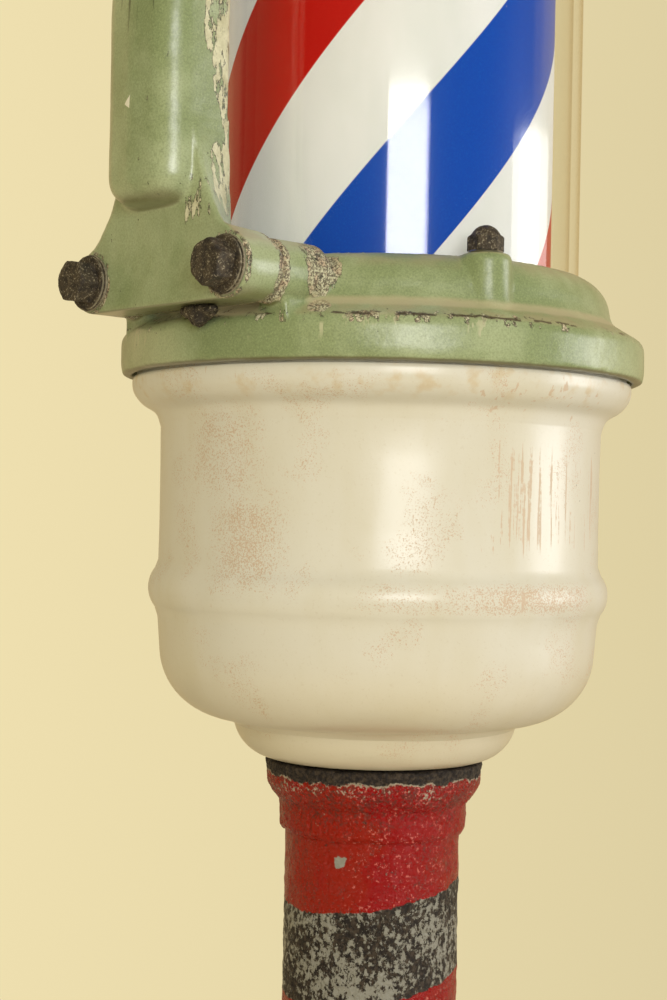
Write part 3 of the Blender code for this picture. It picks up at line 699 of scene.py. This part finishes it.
def plain_metal(name, light, dark, polish, streak, grain_size):
    """A metal with a fine grain, stretched along one direction, and cloudy tarnish."""
    shader, place = new_finish(name)
    grain = noise(stretched(place, streak), grain_size, 3, 0.6)
    tarnish = noise(place, 24, 4, 0.6)
    colour = layer(rise(tarnish, 0.35, 0.70), paint(*light), paint(*dark))
    rough = polish + 0.25 * grain + 0.18 * rise(tarnish, 0.45, 0.75)
    metal = 1 - 0.25 * rise(tarnish, 0.55, 0.80)
    join_to(shader, Base_Color=colour, Roughness=rough, Metallic=metal, Normal=bump(grain, 0.05))


weathered_steel()
plain_metal("bright_steel", (196, 192, 184), (140, 132, 120), 0.20, (1, 1, 0.1), 1.2)
plain_metal("brass", (206, 170, 98), (134, 100, 52), 0.18, (1, 1, 0.3), 1.5)
print("metals:", [name for name in finishes if "steel" in name or "brass" in name])

# %% [markdown]
# ## The striped drum
#
# A printed sheet is rolled round the drum, with red, white, blue and white bands that climb to the
# right. The band at a point depends only on its height less its turn round the pole times the lead,
# so the pattern is one line of arithmetic and closes on itself behind.

# %% Drum stripes
LEAD = 650.0  # millimetres that a band climbs in one turn
PERIOD = LEAD / 2  # red, white, blue and white once
BLUE_START = SEAM + 0.0272  # lower edge of the blue band where the camera looks


def drum_stripes():
    # Painted light: the stripes glow faintly in their own colours, standing in for the lamp behind the
    # printed sheet and for light that the post keeps off the drum's left side.
    shader, place = new_finish("drum_stripes", Specular_IOR_Level=0.2, Emission_Strength=0.16)
    height = (part_of(place, 2) - BLUE_START) * 1000
    climb = (height - turn_from_front(place) * (LEAD / 360)) / PERIOD
    cycle = (climb + 8).maths("FRACT")
    soft = 0.0016
    mottle = noise(stretched(place, (1, 1, 0.3)), 26, 4, 0.6)
    fine = noise(place, 0.9, 2, 0.6)
    white = layer(rise(mottle, 0.30, 0.70), paint(234, 236, 240), paint(224, 228, 230))
    blue = layer(rise(fine, 0.45, 0.75) * 0.45, paint(0, 72, 180), paint(14, 92, 192))
    red = layer(rise(fine, 0.45, 0.75) * 0.35, paint(184, 18, 14), paint(194, 44, 26))
    colour = layer(window(cycle, 0.0, 0.25, soft), white, blue)
    colour = layer(window(cycle, 0.5, 0.75, soft), colour, red)
    colour = layer(rise(specks(place, 16), 0.03, 0.02) * 0.5, colour, paint(180, 168, 140))
    rough = 0.34 + 0.12 * mottle
    relief = bump(noise(stretched(place, (1, 1, 0.05)), 22, 2), 0.25)
    join_to(shader, Base_Color=colour, Emission_Color=colour, Roughness=rough, Normal=relief)


drum_stripes()
print("stripes climb", LEAD, "mm a turn")

# %% [markdown]
# ## Glass, opal and the small finishes
#
# The cylinder is clear window glass. A pure glass shader would block the lamps, so shadow rays pass
# through a transparent shader and the drum behind stays bright. The globe is white opal glass, and the
# gaskets, lamp holders and coil get simple finishes with their own grain.


# %% Glass and small finishes
def clear_glass(name, shine):
    """Thin glass: what is behind it shows through, and the lamps mirror in it, most at its edges."""
    shader, place = new_finish(name)
    clear = place.node("ShaderNodeBsdfTransparent", {}, {"Color": (0.985, 0.985, 0.97, 1)})
    tinted = place.node("ShaderNodeBsdfTransparent", {}, {"Color": (0.72, 0.60, 0.34, 1)})
    mirror = place.node("ShaderNodeBsdfGlossy", {}, {"Color": (1, 1, 1, 1), "Roughness": 0.075})
    edge = place.node("ShaderNodeLayerWeight", {}, {"Blend": 0.5}, output=1)
    body = place.node("ShaderNodeMixShader", {}, {0: rise(edge, 0.76, 1.0) * 0.80, 1: clear, 2: tinted})
    gloss = (0.055 + 0.945 * edge.maths("POWER", 5.0)) * shine
    whole = place.node("ShaderNodeMixShader", {}, {0: gloss, 1: body, 2: mirror})
    tree = finishes[name].node_tree
    tree.links.new(whole.socket, tree.nodes["Material Output"].inputs["Surface"])
    tree.nodes.remove(shader)


def cloudy(name, light, dark, polish, size, depth, **constants):
    """A plain finish: two close shades in clouds, with a fine relief."""
    shader, place = new_finish(name, **constants)
    cloud = noise(place, size * 8, 4, 0.6)
    grain = noise(place, size, 3, 0.6)
    colour = layer(rise(cloud, 0.35, 0.68), paint(*light), paint(*dark))
    rough = polish + 0.15 * cloud
    join_to(shader, Base_Color=colour, Roughness=rough, Normal=bump(grain, depth))


clear_glass("clear_glass", 1.0)
clear_glass("lamp_glass", 0.6)
cloudy("opal_glass", (238, 234, 224), (228, 222, 206), 0.10, 6, 0.02, Coat_Weight=0.6, Coat_Roughness=0.05)
cloudy("rubber", (34, 33, 31), (52, 50, 46), 0.62, 1.0, 0.06)
cloudy("black_plastic", (24, 23, 22), (36, 35, 33), 0.34, 0.8, 0.03)
cloudy("varnished_wire", (124, 62, 30), (84, 38, 20), 0.30, 0.7, 0.20)
print(len(finishes), "finishes")

# %% [markdown]
# ## Dressing a piece
#
# Every new piece needs the same three things: its finish, the body that it rides on, and the
# engineering solid that it stands for.


# %% Fitting
def dress(piece, finish, *nodes, body="pole"):
    piece.data.materials.clear()
    piece.data.materials.append(finishes[finish])
    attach(piece, body)
    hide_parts(*nodes)
    return piece


def triangles(piece):
    return sum(len(face.vertices) - 2 for face in piece.data.polygons)


print("ready to dress")

# %% [markdown]
# ## Glass cylinder, gaskets and drum
#
# The glass is a tube with fire-polished ends, so its profile is a closed loop with round corners. The
# drum is a thin printed tube just inside it, and it turns.

# %% Glass, gaskets and drum
GLASS_RADIUS = 101.6
GLASS_WALL = 5.0
DRUM_RADIUS = 87.3
glass_length = (glass_high.z - glass_low.z) / MM


def round_ended_wall(outer, wall, low, high, steps=6):
    """The section of a tube whose ends are half round."""
    middle, half = outer - wall / 2, wall / 2
    top = [(outer - wall, high - half - 2), *arc((middle, high - half), half, 180, 0, steps)]
    foot = [*arc((middle, low + half), half, 0, -180, steps), (outer - wall, low + half + 2)]
    return [*top, (outer, high - half - 2), (outer, low + half + 2), *foot]


section = round_ended_wall(GLASS_RADIUS, GLASS_WALL, 0.05, glass_length - 0.05)
glass = lathe("glass_tube", section, glass_low.z, steps=192, hollow=True)
dress(shade(glass), "clear_glass", "glass_cylinder")
for end in ("lower", "upper"):
    low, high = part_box(f"{end}_glass_gasket")
    section = round_ended_wall(GLASS_RADIUS - 0.1, 7.2, 0.02, (high.z - low.z) / MM - 0.02, 4)
    gasket = lathe(f"{end}_gasket_ring", section, low.z, hollow=True)
    dress(shade(gasket), "rubber", f"{end}_glass_gasket")

low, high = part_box("drum")
section = round_ended_wall(DRUM_RADIUS - 0.1, 1.1, 0.05, (high.z - low.z) / MM - 0.05, 2)
drum = lathe("striped_drum", section, low.z, steps=192, hollow=True)
dress(shade(drum), "drum_stripes", "drum", body="drum")
print("glass", triangles(glass), "triangles, drum", triangles(drum))

# %% [markdown]
# ## The motor bowl and the top cap
#
# The bowl is spun sheet, enamelled inside and out: a rolled rim under the ring, a straight wall, a
# raised bead and a stepped floor. Arcs give the bead and the corner their true roundness. The cap
# above is the same spinning made shallower, upside down. Sheet metal is never quite true, so broad
# noise moves the surface by a few tenths of a millimetre.


# %% Bowl and cap
def uneven(piece, size, depth):
    """Moves the surface along its normals by soft noise; size and depth are in millimetres."""
    texture = bpy.data.textures.new(piece.name + "_unevenness", "CLOUDS")
    texture.noise_scale = size * MM
    settings = {"strength": depth * MM, "mid_level": 0.5, "texture_coords": "LOCAL"}
    return modify(piece, "DISPLACE", texture=texture, **settings)


def rolled_rim():
    """The enamelled rim, from its top edge down to the straight wall; heights count from the seam."""
    rim = [(129.2, -0.6), (129.7, -2.8), (128.8, -8.0), (124.6, -13.4), (117.4, -18.2), (114.6, -25.0)]
    return [(127.4, 4.8), (127.4, 0.2), (128.6, -0.1), *flowing(rim, 5)]


BOWL_HEIGHT = (SEAM - BOWL_FLOOR) / MM
bead, corner, tier = (103.2, 87.0), (77.0, 57.0), (52.0, 22.0)
outside = [(r, z + BOWL_HEIGHT) for r, z in rolled_rim()]
outside += [(114.3, 150), (114.2, 120), (114.35, 101.5)]
outside += [*arc(bead, 16.2, 38, -38, 14), (114.3, 72), (113.6, 63), *arc(corner, 36, -4, -84, 16)]
outside += [(77.2, 21.1), (75.4, 20.4), (74.1, 18.6), *arc(tier, 21.8, -14, -76, 10), (50, 0.5), (26.6, 0.05)]
inside = [(26.6, 4), (58, 4), (72, 16), *arc(corner, 32, -80, 0, 10), (110.2, 90), (110.2, 170)]
inside += [(113.4, 178.5), (124.2, 187), (125.0, 196), (104.2, 196), (104.2, 199.8)]
bowl = lathe("motor_bowl", [*outside, *inside], BOWL_FLOOR, steps=192, hollow=True)
uneven(bowl, 60, 0.5)
dress(shade(bowl), "cream_enamel", "bowl")

bead, corner = (103.2, 60.0), (79.0, 74.0)
outside = [(r, -z) for r, z in rolled_rim()]
outside += [(114.3, 45.5), *arc(bead, 16.2, -38, 38, 14), *arc(corner, 34, 4, 78, 14)]
outside += flowing([(80, 108.9), (72, 110.6), (64, 115.6), (56, 117.6), (24.2, 117.9)], 4)
inside = [(24.2, 114.2), (58, 114), *arc(corner, 30, 68, 0, 10), (110.2, 25), (113.4, 16.5), (124.2, 8)]
inside += [(125.0, -1), (104.2, -1), (104.2, -4.8)]
cap = lathe("enamelled_cap", [*outside, *inside], CAP_FLOOR, steps=192, hollow=True)
uneven(cap, 60, 0.5)
dress(shade(cap), "cream_enamel", "top_cap")
print("bowl", triangles(bowl), "triangles, cap", triangles(cap))

# %% [markdown]
# ## Pipe and collar
#
# The collar is an iron flare that the bowl stands on, and its paint is so thick that it hangs in
# lumps. The collar's own shape comes from the profile; two sizes of noise then roughen it.

# %% Pipe and collar
flare = flowing([(55.4, -0.3), (56.3, -1.4), (55.8, -6.4), (55.2, -12.0), (52.3, -17.5), (49.0, -21.4)], 7)
neck = flowing([(48.4, -24.5), (48.2, -33.0), (47.3, -35.8), (45.9, -37.3)], 5)
spigot = [(20.2, 11.8), (25.8, 11.8), (25.8, 0.1), (50, 0.0)]
section = [*spigot, *flare, *neck, (45.9, -3.8), (20.2, -3.8)]
collar = lathe("flared_collar", section, COLLAR_TOP, steps=300, hollow=True)
modify(collar, "SUBSURF", subdivision_type="SIMPLE", levels=1, render_levels=1)
uneven(collar, 9, 1.6)
uneven(collar, 2.4, 0.9)
dress(shade(collar, 60), "pipe_paint", "pipe_collar")

PIPE_RADIUS = 45.3
PIPE_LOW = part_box("pipe")[0].z
pipe_length = (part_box("pipe")[1].z - PIPE_LOW) / MM
ROWS = 460
wall = [(PIPE_RADIUS, pipe_length * (1 - i / ROWS)) for i in range(ROWS + 1)]
pipe = lathe("painted_pipe", [*wall, (40, 0), (40, pipe_length)], PIPE_LOW, steps=180, hollow=True)
uneven(pipe, 9, 1.2)
uneven(pipe, 3.0, 0.8)
dress(shade(pipe, 60), "pipe_paint", "pipe")
print("collar", triangles(collar), "triangles, pipe", triangles(pipe))

# %% [markdown]
# ## Cast rings and bracket
#
# The rings and the bracket are sand castings, and a casting has a fillet wherever two forms meet. The
# forms are made plainly, joined into one object, and voxel remeshed, which melts them into one skin.
# Smoothing that skin then gives every inner corner a fillet, as the moulder's rounded pattern did.
# The rings are twins: the lower one is modelled and the upper one is its mirrored copy.


# %% Cast forms
def slab(name, outline, start, end, upright=False):
    """A flat outline in millimetres made solid. Upright ones are drawn in (y, z) and face -X."""
    if upright:
        points = [(-start * MM, u * MM, SEAM + v * MM) for u, v in outline]
        depth = Vector((-(end - start) * MM, 0, 0))
    else:
        points = [(u * MM, v * MM, start) for u, v in outline]
        depth = Vector((0, 0, end - start))
    piece = walk(name, [*points, points[0]])
    bpy.ops.mesh.remove_doubles(threshold=MM / 50)
    bpy.ops.mesh.edge_face_add()
    bpy.ops.mesh.extrude_region_move(TRANSFORM_OT_translate={"value": depth})
    return close_up(piece)


def circle(radius, steps, at=(0, 0)):
    return arc(at, radius, 0, 360 - 360 / steps, steps - 1)


def melt(piece, *others, voxel, smoothing):
    """Joins forms and melts them into one skin of a voxel size in millimetres."""
    only(piece)
    for other in others:
        other.select_set(True)
    bpy.ops.object.join()
    modify(piece, "REMESH", mode="VOXEL", voxel_size=voxel * MM)
    return modify(piece, "SMOOTH", factor=0.5, iterations=smoothing)


def copy_to(source, name, matrix):
    """A copy with a mesh of its own, moved by a matrix that ends up in the mesh."""
    piece = source.copy()
    piece.data = source.data.copy()
    piece.name = piece.data.name = name
    bpy.context.scene.collection.objects.link(piece)
    piece.data.transform(matrix)
    return piece


def mirrored_copy(piece, name):
    """The piece's twin in the pole's other half."""
    twin = copy_to(piece, name, Matrix.Identity(4))
    only(twin)
    bpy.ops.transform.resize(value=(1, 1, -1), center_override=(0, 0, MIDDLE))
    settle()
    edit(twin)
    bpy.ops.mesh.normals_make_consistent(inside=False)
    bpy.ops.object.mode_set(mode="OBJECT")
    return twin


print("casting helpers ready")

# %% The rings
STUD_CIRCLE = 110.0
STUD_ANGLES = (0.0, 110.0, 250.0)
EYE_RADIUS = 14.8

crown = [(103.4, 53.4), *arc((98.2, 34.4), 19.7, 72, 12, 12), (118.2, 34.5), (119.9, 30.2)]
crown += flowing([(124, 27.4), (130.4, 23.4), (133.9, 20.9), (135.5, 17.8), (135.8, 14.0), (135.7, 6.0)], 4)
crown += [(134.9, 1.6), (132.8, 0.4), (128.9, 0.4), (128.9, 9.7), (112, 9.7), (112, 28), (90.7, 28)]
crown += [(90.7, 33.8), (102.4, 33.8), (102.4, 53.0)]
ring = lathe("cast_ring", crown, SEAM, steps=192, hollow=True)
forms = []
boss = [(0, 53.8), (10.2, 53.8), (11.9, 52.8), (12.5, 50.6), (12.9, 36), (13.6, 30)]
boss += [(15.2, 25), (16.6, 12), (0, 12)]
for index, angle in enumerate(STUD_ANGLES):
    forms.append(lathe(f"boss_{index}", boss, SEAM, at=spot_at(angle, STUD_CIRCLE), steps=32))
for side in (-1, 1):
    eye = (side * BOLT_ASIDE, BOLT_LEVEL)
    forms.append(slab(f"ear_{side}", circle(EYE_RADIUS, 40, eye), 100, 128.8, upright=True))
    web = [(eye[0] - 9, 18), (eye[0] + 9, 18), (eye[0] + 9, eye[1]), (eye[0] - 9, eye[1])]
    forms.append(slab(f"web_{side}", web, 104, 123, upright=True))
melt(ring, *forms, voxel=1.36, smoothing=2)
uneven(ring, 24, 0.7)
upper_ring = mirrored_copy(ring, "upper_cast_ring")
dress(shade(ring, 180), "green_enamel", "lower_ring")
dress(shade(upper_ring, 180), "green_enamel", "upper_ring")
print("ring", triangles(ring), "triangles")

# %% [markdown]
# ## The side bracket
#
# One casting carries the upper half of the pole. Its post is a rounded bar that ends like a pillow
# above each foot, and a flatter foot flares out to two round eyes for the bolts. Half of it is made
# and melted, cut flat at the middle, and a mirrored copy joined to it gives the other end.

# %% The bracket
FOOT_BACK, FOOT_FRONT, POST_FRONT = 129.0, 151.0, 168.0
POST_HALF_WIDTH = 26.0
POST_END = 72.0
post_top = MIDDLE + 0.012


def post_section(crown, radius):
    """The post seen from above: a slightly crowned front, large front corners and small back ones."""
    centre = (-(POST_FRONT - crown - radius), POST_HALF_WIDTH - radius)
    section = [(-POST_FRONT, 2.0), *arc(centre, radius, 176, 90, 10)]
    section += arc((-(FOOT_BACK + 4), POST_HALF_WIDTH - 4), 4, 90, 0, 4)
    return section + [(x, -y) for x, y in reversed(section)]


post = slab("cast_bracket", post_section(0.9, 14.5), SEAM + POST_END * MM, post_top)
bpy.ops.object.mode_set(mode="EDIT")
bpy.ops.mesh.select_all(action="DESELECT")
bpy.ops.object.mode_set(mode="OBJECT")
for edge in post.data.edges:
    ends = [post.data.vertices[v].co for v in edge.vertices]
    edge.select = all(end.z < SEAM + (POST_END + 0.5) * MM and end.x < -(FOOT_BACK + 8) * MM for end in ends)
bpy.ops.object.mode_set(mode="EDIT")
bpy.ops.mesh.bevel(offset=13.5 * MM, segments=8, affect="EDGES")
bpy.ops.object.mode_set(mode="OBJECT")
half_foot = [(0, 25.9), *arc((BOLT_ASIDE, BOLT_LEVEL), EYE_RADIUS - 0.1, -90, 66, 16)]
half_foot += flowing([(51.0, 57.4), (44.4, 64.6), (38.4, 73.5), (32.4, 85.0), (28.2, 98.0), (26, 112)], 3)
foot_outline = half_foot + [(-u, v) for u, v in reversed(half_foot[1:])]
foot = slab("foot", foot_outline, FOOT_BACK + 0.2, FOOT_FRONT, upright=True)
for vertex in foot.data.vertices:  # above the eyes the flanks narrow towards the back
    rise_above = vertex.co.z / MM - SEAM / MM - 58
    if rise_above > 0 and vertex.co.x > -(FOOT_BACK + 5) * MM:
        reach = max(POST_HALF_WIDTH, POST_HALF_WIDTH + (abs(vertex.co.y) / MM - POST_HALF_WIDTH) * 0.12)
        vertex.co.y = math.copysign(reach * MM, vertex.co.y)
melt(post, foot, voxel=1.2, smoothing=4)
near_step = post.vertex_groups.new(name="step")
for vertex in post.data.vertices:
    height = vertex.co.z / MM - SEAM / MM
    weight = max(0.0, 1 - abs(height - 74) / 16)
    near_step.add([vertex.index], weight if vertex.co.x < -140 * MM else 0.0, "REPLACE")
modify(post, "SMOOTH", factor=0.5, iterations=26, vertex_group="step")
post.vertex_groups.clear()
uneven(post, 22, 0.7)
edit(post)
bpy.ops.mesh.bisect(plane_co=(0, 0, MIDDLE), plane_no=(0, 0, 1), clear_outer=True)
bpy.ops.object.mode_set(mode="OBJECT")
for vertex in post.data.vertices:
    if abs(vertex.co.z - MIDDLE) < 0.2 * MM:
        vertex.co.z = MIDDLE
twin = mirrored_copy(post, "bracket_upper_half")
only(post)
twin.select_set(True)
bpy.ops.object.join()
edit(post)
close_up(post)
dress(shade(post, 180), "green_enamel", "bracket")
print("bracket", triangles(post), "triangles")

# %% [markdown]
# ## Bolts, washers and domed nuts
#
# A hex head is a six-sided cylinder whose corners a lathe has cut to a cone, and the nut's dome is
# turned on the same blank. Intersecting the hexagon with a turned shape gives those curved corners. A
# fine remesh then makes enough surface for rust to lift and pit.


# %% Hex blanks
def hexagon(across_flats, turn=0):
    return [around(60 * i + turn, across_flats / math.sqrt(3)) for i in range(6)]


def hex_blank(name, across_flats, thickness, turned_outline, voxel, pitting):
    """A hexagon cut by a turned outline and rusted, standing on the origin."""
    blank = slab(name, hexagon(across_flats), 0, thickness * MM)
    cone = lathe("cone", turned_outline, 0, steps=64)
    modify(blank, "BOOLEAN", operation="INTERSECT", object=cone, solver="EXACT")
    bpy.data.objects.remove(cone)
    modify(blank, "REMESH", mode="VOXEL", voxel_size=voxel * MM)
    modify(blank, "SMOOTH", factor=0.5, iterations=1)
    uneven(blank, 3.0, pitting)
    uneven(blank, 0.9, pitting * 0.5)
    return shade(blank, 60)


OUTWARD = turned(-90, "Y")  # turns +Z to -X
chamfer = [(0, 10), (9.0, 10), (11.2, 8.7), (11.2, -1), (0, -1)]
head = hex_blank("bolt_pattern", 18.8, 10, chamfer, 0.42, 0.55)
rings = [(5.3, 0.1), (13.6, 0.1), (13.7, 1.2), (12.9, 1.5), (13.1, 2.6), (12.4, 3.0), (5.3, 3.0)]
washer = lathe("washer_pattern", rings, 0, steps=96, hollow=True)
modify(washer, "SUBSURF", subdivision_type="SIMPLE", levels=2, render_levels=2)
uneven(washer, 2.4, 0.35)
shade(washer, 60)
for end, level in (("lower", SEAM + BOLT_LEVEL * MM), ("upper", CAP_FLOOR - BOLT_LEVEL * MM)):
    for place_name, side in (("front", -1), ("back", 1)):
        spot = Matrix.Translation((-FOOT_FRONT * MM, side * BOLT_ASIDE * MM, level))
        name = f"{end}_{place_name}"
        lift = Matrix.Translation((0, 0, 2.9 * MM))
        bolt = copy_to(head, f"{name}_hex_bolt", spot @ OUTWARD @ lift @ turned(17 * side + 5))
        dress(bolt, "weathered_steel", f"{name}_bolt")
        sealed = copy_to(washer, f"{name}_washer_stack", spot @ OUTWARD)
        dress(sealed, "weathered_steel", f"{name}_washer")
print("bolt head", triangles(head), "triangles")

# %% Domed nuts
acorn = [(0, 13.2), *arc((0, 5.7), 7.4, 80, 22, 8), (8.4, 7.6), (8.7, 7.0), (8.7, 1.2), (7.6, 0.2), (0, 0.2)]
dome = hex_blank("nut_pattern", 15.4, 13.4, acorn, 0.36, 0.40)
rings = [(4.4, -0.15), (8.3, -0.15), (8.5, 0.25), (8.2, 0.65), (4.4, 0.65)]
shim = lathe("shim_pattern", rings, 0, steps=64, hollow=True)
for end, sign in (("lower", 1), ("upper", -1)):
    for index, angle in enumerate(STUD_ANGLES):
        node = f"{end}_cap_nut_{index + 1}"
        low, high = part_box(node)
        middle = (low + high) / 2
        base = low.z if sign > 0 else high.z
        stand = Matrix.Translation((middle.x, middle.y, base))
        flip = Matrix.Identity(4) if sign > 0 else turned(180, "X")
        nut = copy_to(dome, f"{end}_domed_nut_{index + 1}", stand @ flip @ turned(angle * 1.7 + 12))
        dress(nut, "weathered_steel", node)
        thin = copy_to(shim, f"{end}_nut_shim_{index + 1}", stand @ flip)
        dress(shade(thin), "bright_steel")
for pattern in (head, washer, dome, shim):
    bpy.data.objects.remove(pattern)
print("six nuts and their bright shims")

# %% [markdown]
# ## A lump under the foot
#
# Between the bolts a rusty lump of old filler hangs from the foot's lower edge. A cone would look
# too neat, so a small sphere is pulled down to a point and melted by noise.

# %% Rusty lump
bpy.ops.object.select_all(action="DESELECT")
lump_place = (-0.1395, -0.018, SEAM + 0.0235)
bpy.ops.mesh.primitive_ico_sphere_add(subdivisions=5, radius=6 * MM, location=lump_place)
lump = bpy.context.object
lump.name = lump.data.name = "rusty_lump"
bpy.ops.object.mode_set(mode="EDIT")
bpy.ops.transform.resize(value=(0.75, 2.1, 0.55), center_override=lump_place)
bpy.ops.object.mode_set(mode="OBJECT")
for vertex in lump.data.vertices:
    if vertex.co.z < 0:
        vertex.co.z *= 2.3 - 150 * abs(vertex.co.y)
settle()
uneven(lump, 4, 3.0)
uneven(lump, 1.4, 0.9)
dress(shade(lump, 60), "weathered_steel")
print("lump", triangles(lump), "triangles")

# %% [markdown]
# ## Floor base and anchors
#
# A bell-shaped iron base spreads the weight to four floor anchors. Its skirt is one flowing curve from
# the hub to the rim, with a raised band at the foot.

# %% Base
hub = [(46.1, 125.7), (54.2, 125.7), *arc((54.6, 121.6), 4.1, 80, -10, 5), (58.6, 113.5), (59.6, 111.6)]
skirt = flowing([(60.4, 108), (64.2, 92), (75.6, 66.6), (97.0, 43.4), (126.5, 28.6), (150.5, 22.2)], 8)
rim = [(154.5, 21.6), (157.0, 20.4), (158.6, 19.9), (192.6, 16.8), *arc((194.6, 11.6), 5.1, 80, 0, 5)]
rim += [(199.7, 2.2), (197.8, 0.1), (46.1, 0.1)]
base = lathe("bell_base", [*hub, *skirt, *rim], 0, steps=192, hollow=True)
ANCHOR_CIRCLE = 174.0
ANCHOR_SEAT = 17.6  # height of the flats that the anchors' heads stand on
ANCHOR_SPOTS = [spot_at(45 + 90 * index, ANCHOR_CIRCLE) for index in range(4)]
cutter = [(0, 60), (15.2, 60), (15.0, ANCHOR_SEAT), (14.4, 17.2), (0, 17.2)]
for spot in ANCHOR_SPOTS:
    pad = lathe("pad", cutter, 0, at=spot, steps=48)
    modify(base, "BOOLEAN", operation="DIFFERENCE", object=pad, solver="EXACT")
    bpy.data.objects.remove(pad)
uneven(base, 18, 0.5)
dress(shade(base, 40), "base_paint", "floor_base")
chamfer = [(0, 9.3), (8.8, 9.3), (10.9, 8.1), (10.9, -1), (0, -1)]
anchor_head = hex_blank("anchor_pattern", 18.6, 9.4, chamfer, 0.5, 0.35)
for index, spot in enumerate(ANCHOR_SPOTS):
    stand = Matrix.Translation((*spot, ANCHOR_SEAT * MM))
    anchor = copy_to(anchor_head, f"anchor_bolt_{index + 1}", stand @ turned(23 * index))
    dress(anchor, "weathered_steel", f"floor_anchor_{index + 1}")
bpy.data.objects.remove(anchor_head)
print("base", triangles(base), "triangles")

# %% [markdown]
# ## The globe and its fitter
#
# A brass cup stands on the cap, and three thumb screws hold the lipped neck of an opal globe. The
# screws' heads are knurled: every other small face of their rim is drawn in.

# %% Fitter and thumb screws
FITTER_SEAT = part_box("globe_fitter")[0].z
cup = [(54.7, 21.9), *arc((56.6, 20.6), 1.35, 160, -60, 6), (56.5, 17.6), (56.3, 6.4), (57.2, 3.4)]
cup += [(59.4, 1.6), (59.8, 0.2), (12.2, 0.1), (12.2, 1.5), (54.6, 1.6)]
fitter = lathe("brass_fitter", cup, FITTER_SEAT, hollow=True)
dress(shade(fitter, 50), "brass", "globe_fitter")
screw = [(0, 17.4), (1.0, 17.4), (3.4, 17.3), (4.9, 16.8), (5.3, 16.2), (5.3, 14.0), (4.8, 13.3), (2.4, 13.0)]
screw += [(1.9, 12.4), (1.9, 0.4), (1.2, 0.1), (0, 0.1)]
thumb = lathe("thumb_pattern", screw, 0, steps=48)
for vertex in thumb.data.vertices:
    reach = math.hypot(vertex.co.x, vertex.co.y)
    if reach > 5.0 * MM and round(math.degrees(math.atan2(vertex.co.y, vertex.co.x)) / 7.5) % 2:
        vertex.co.x *= 0.93
        vertex.co.y *= 0.93
for index in range(3):
    low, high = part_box(f"thumb_screw_{index + 1}")
    start = Matrix.Translation((0, 0, (low.z + high.z) / 2)) @ turned(90 + 120 * index)
    screw_tip = Matrix.Translation((50.5 * MM, 0, 0))
    piece = copy_to(thumb, f"knurled_screw_{index + 1}", start @ screw_tip @ turned(90, "Y"))
    dress(shade(piece), "brass", f"thumb_screw_{index + 1}")
bpy.data.objects.remove(thumb)
print("fitter", triangles(fitter), "triangles")

# %% Globe
GLOBE_RADIUS, GLOBE_NECK, GLOBE_WALL = 101.5, 49.4, 3.0
globe_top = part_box("globe")[1].z
neck_foot = (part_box("globe")[0].z - globe_top) / MM
centre = -GLOBE_RADIUS - 0.1
start = math.degrees(math.asin(GLOBE_NECK / GLOBE_RADIUS)) - 90
ball = [(0, centre + GLOBE_RADIUS), *arc((0, centre), GLOBE_RADIUS, 87, start, 36)]
lip = [(0, 5), (0.6, 3.6), (2.0, 3.0), (2.1, 0.5), (1.4, 0.1), (-3, 0.1)]
throat = [(GLOBE_NECK + out, neck_foot + up) for out, up in lip]
inner = GLOBE_RADIUS - GLOBE_WALL
start = math.degrees(math.asin((GLOBE_NECK - GLOBE_WALL) / inner)) - 90
hollow = [*arc((0, centre), inner, start, 87, 24), (0, centre + inner)]
globe = lathe("opal_globe", [*ball, *throat, *hollow], globe_top, steps=128)
dress(shade(globe, 50), "opal_glass", "globe")
print("globe", triangles(globe), "triangles")

# %% [markdown]
# ## Everything inside
#
# The motor, the gears, the plates and the studs are hidden in use, and their engineering shapes are
# right as they are. They keep those shapes and take the finishes of their slots.

# %% Finishes for the hidden pieces
kept = {
    "bright_steel": ["motor_plate", "drum_lower_spider", "drum_upper_spider", "centre_tube", "tube_locknut"],
    "weathered_steel": ["bowl_locknut", "motor_gearcase", "motor_core"],
    "brass": ["drum_gear", "motor_pinion", "thrust_collar"],
    "lamp_glass": ["drum_lamp", "globe_lamp"],
    "black_plastic": ["drum_lamp_holder", "globe_lamp_holder"],
    "varnished_wire": ["motor_coil"],
}
kept["bright_steel"] += [f"{end}_stud_{index + 1}" for end in ("lower", "upper") for index in range(3)]
for finish, names in kept.items():
    for name in names:
        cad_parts[name].data.materials.clear()
        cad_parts[name].data.materials.append(finishes[finish])
print("kept", sum(map(len, kept.values())), "engineering shapes")

# %% [markdown]
# ## The floor
#
# A plain pale disc is enough to stand the pole on. It isn't part of the object.

# %% Floor
bpy.ops.object.select_all(action="DESELECT")
bpy.ops.mesh.primitive_circle_add(vertices=96, radius=2.6, fill_type="NGON", location=(0, 0, 0))
floor = bpy.context.object
floor.name = "studio_floor"
shader, place = new_finish("floor_paint")
join_to(shader, Base_Color=layer(noise(place, 300, 3), paint(236, 228, 208), paint(230, 220, 198)))
shader.inputs["Roughness"].default_value = 0.6
floor.data.materials.append(finishes["floor_paint"])
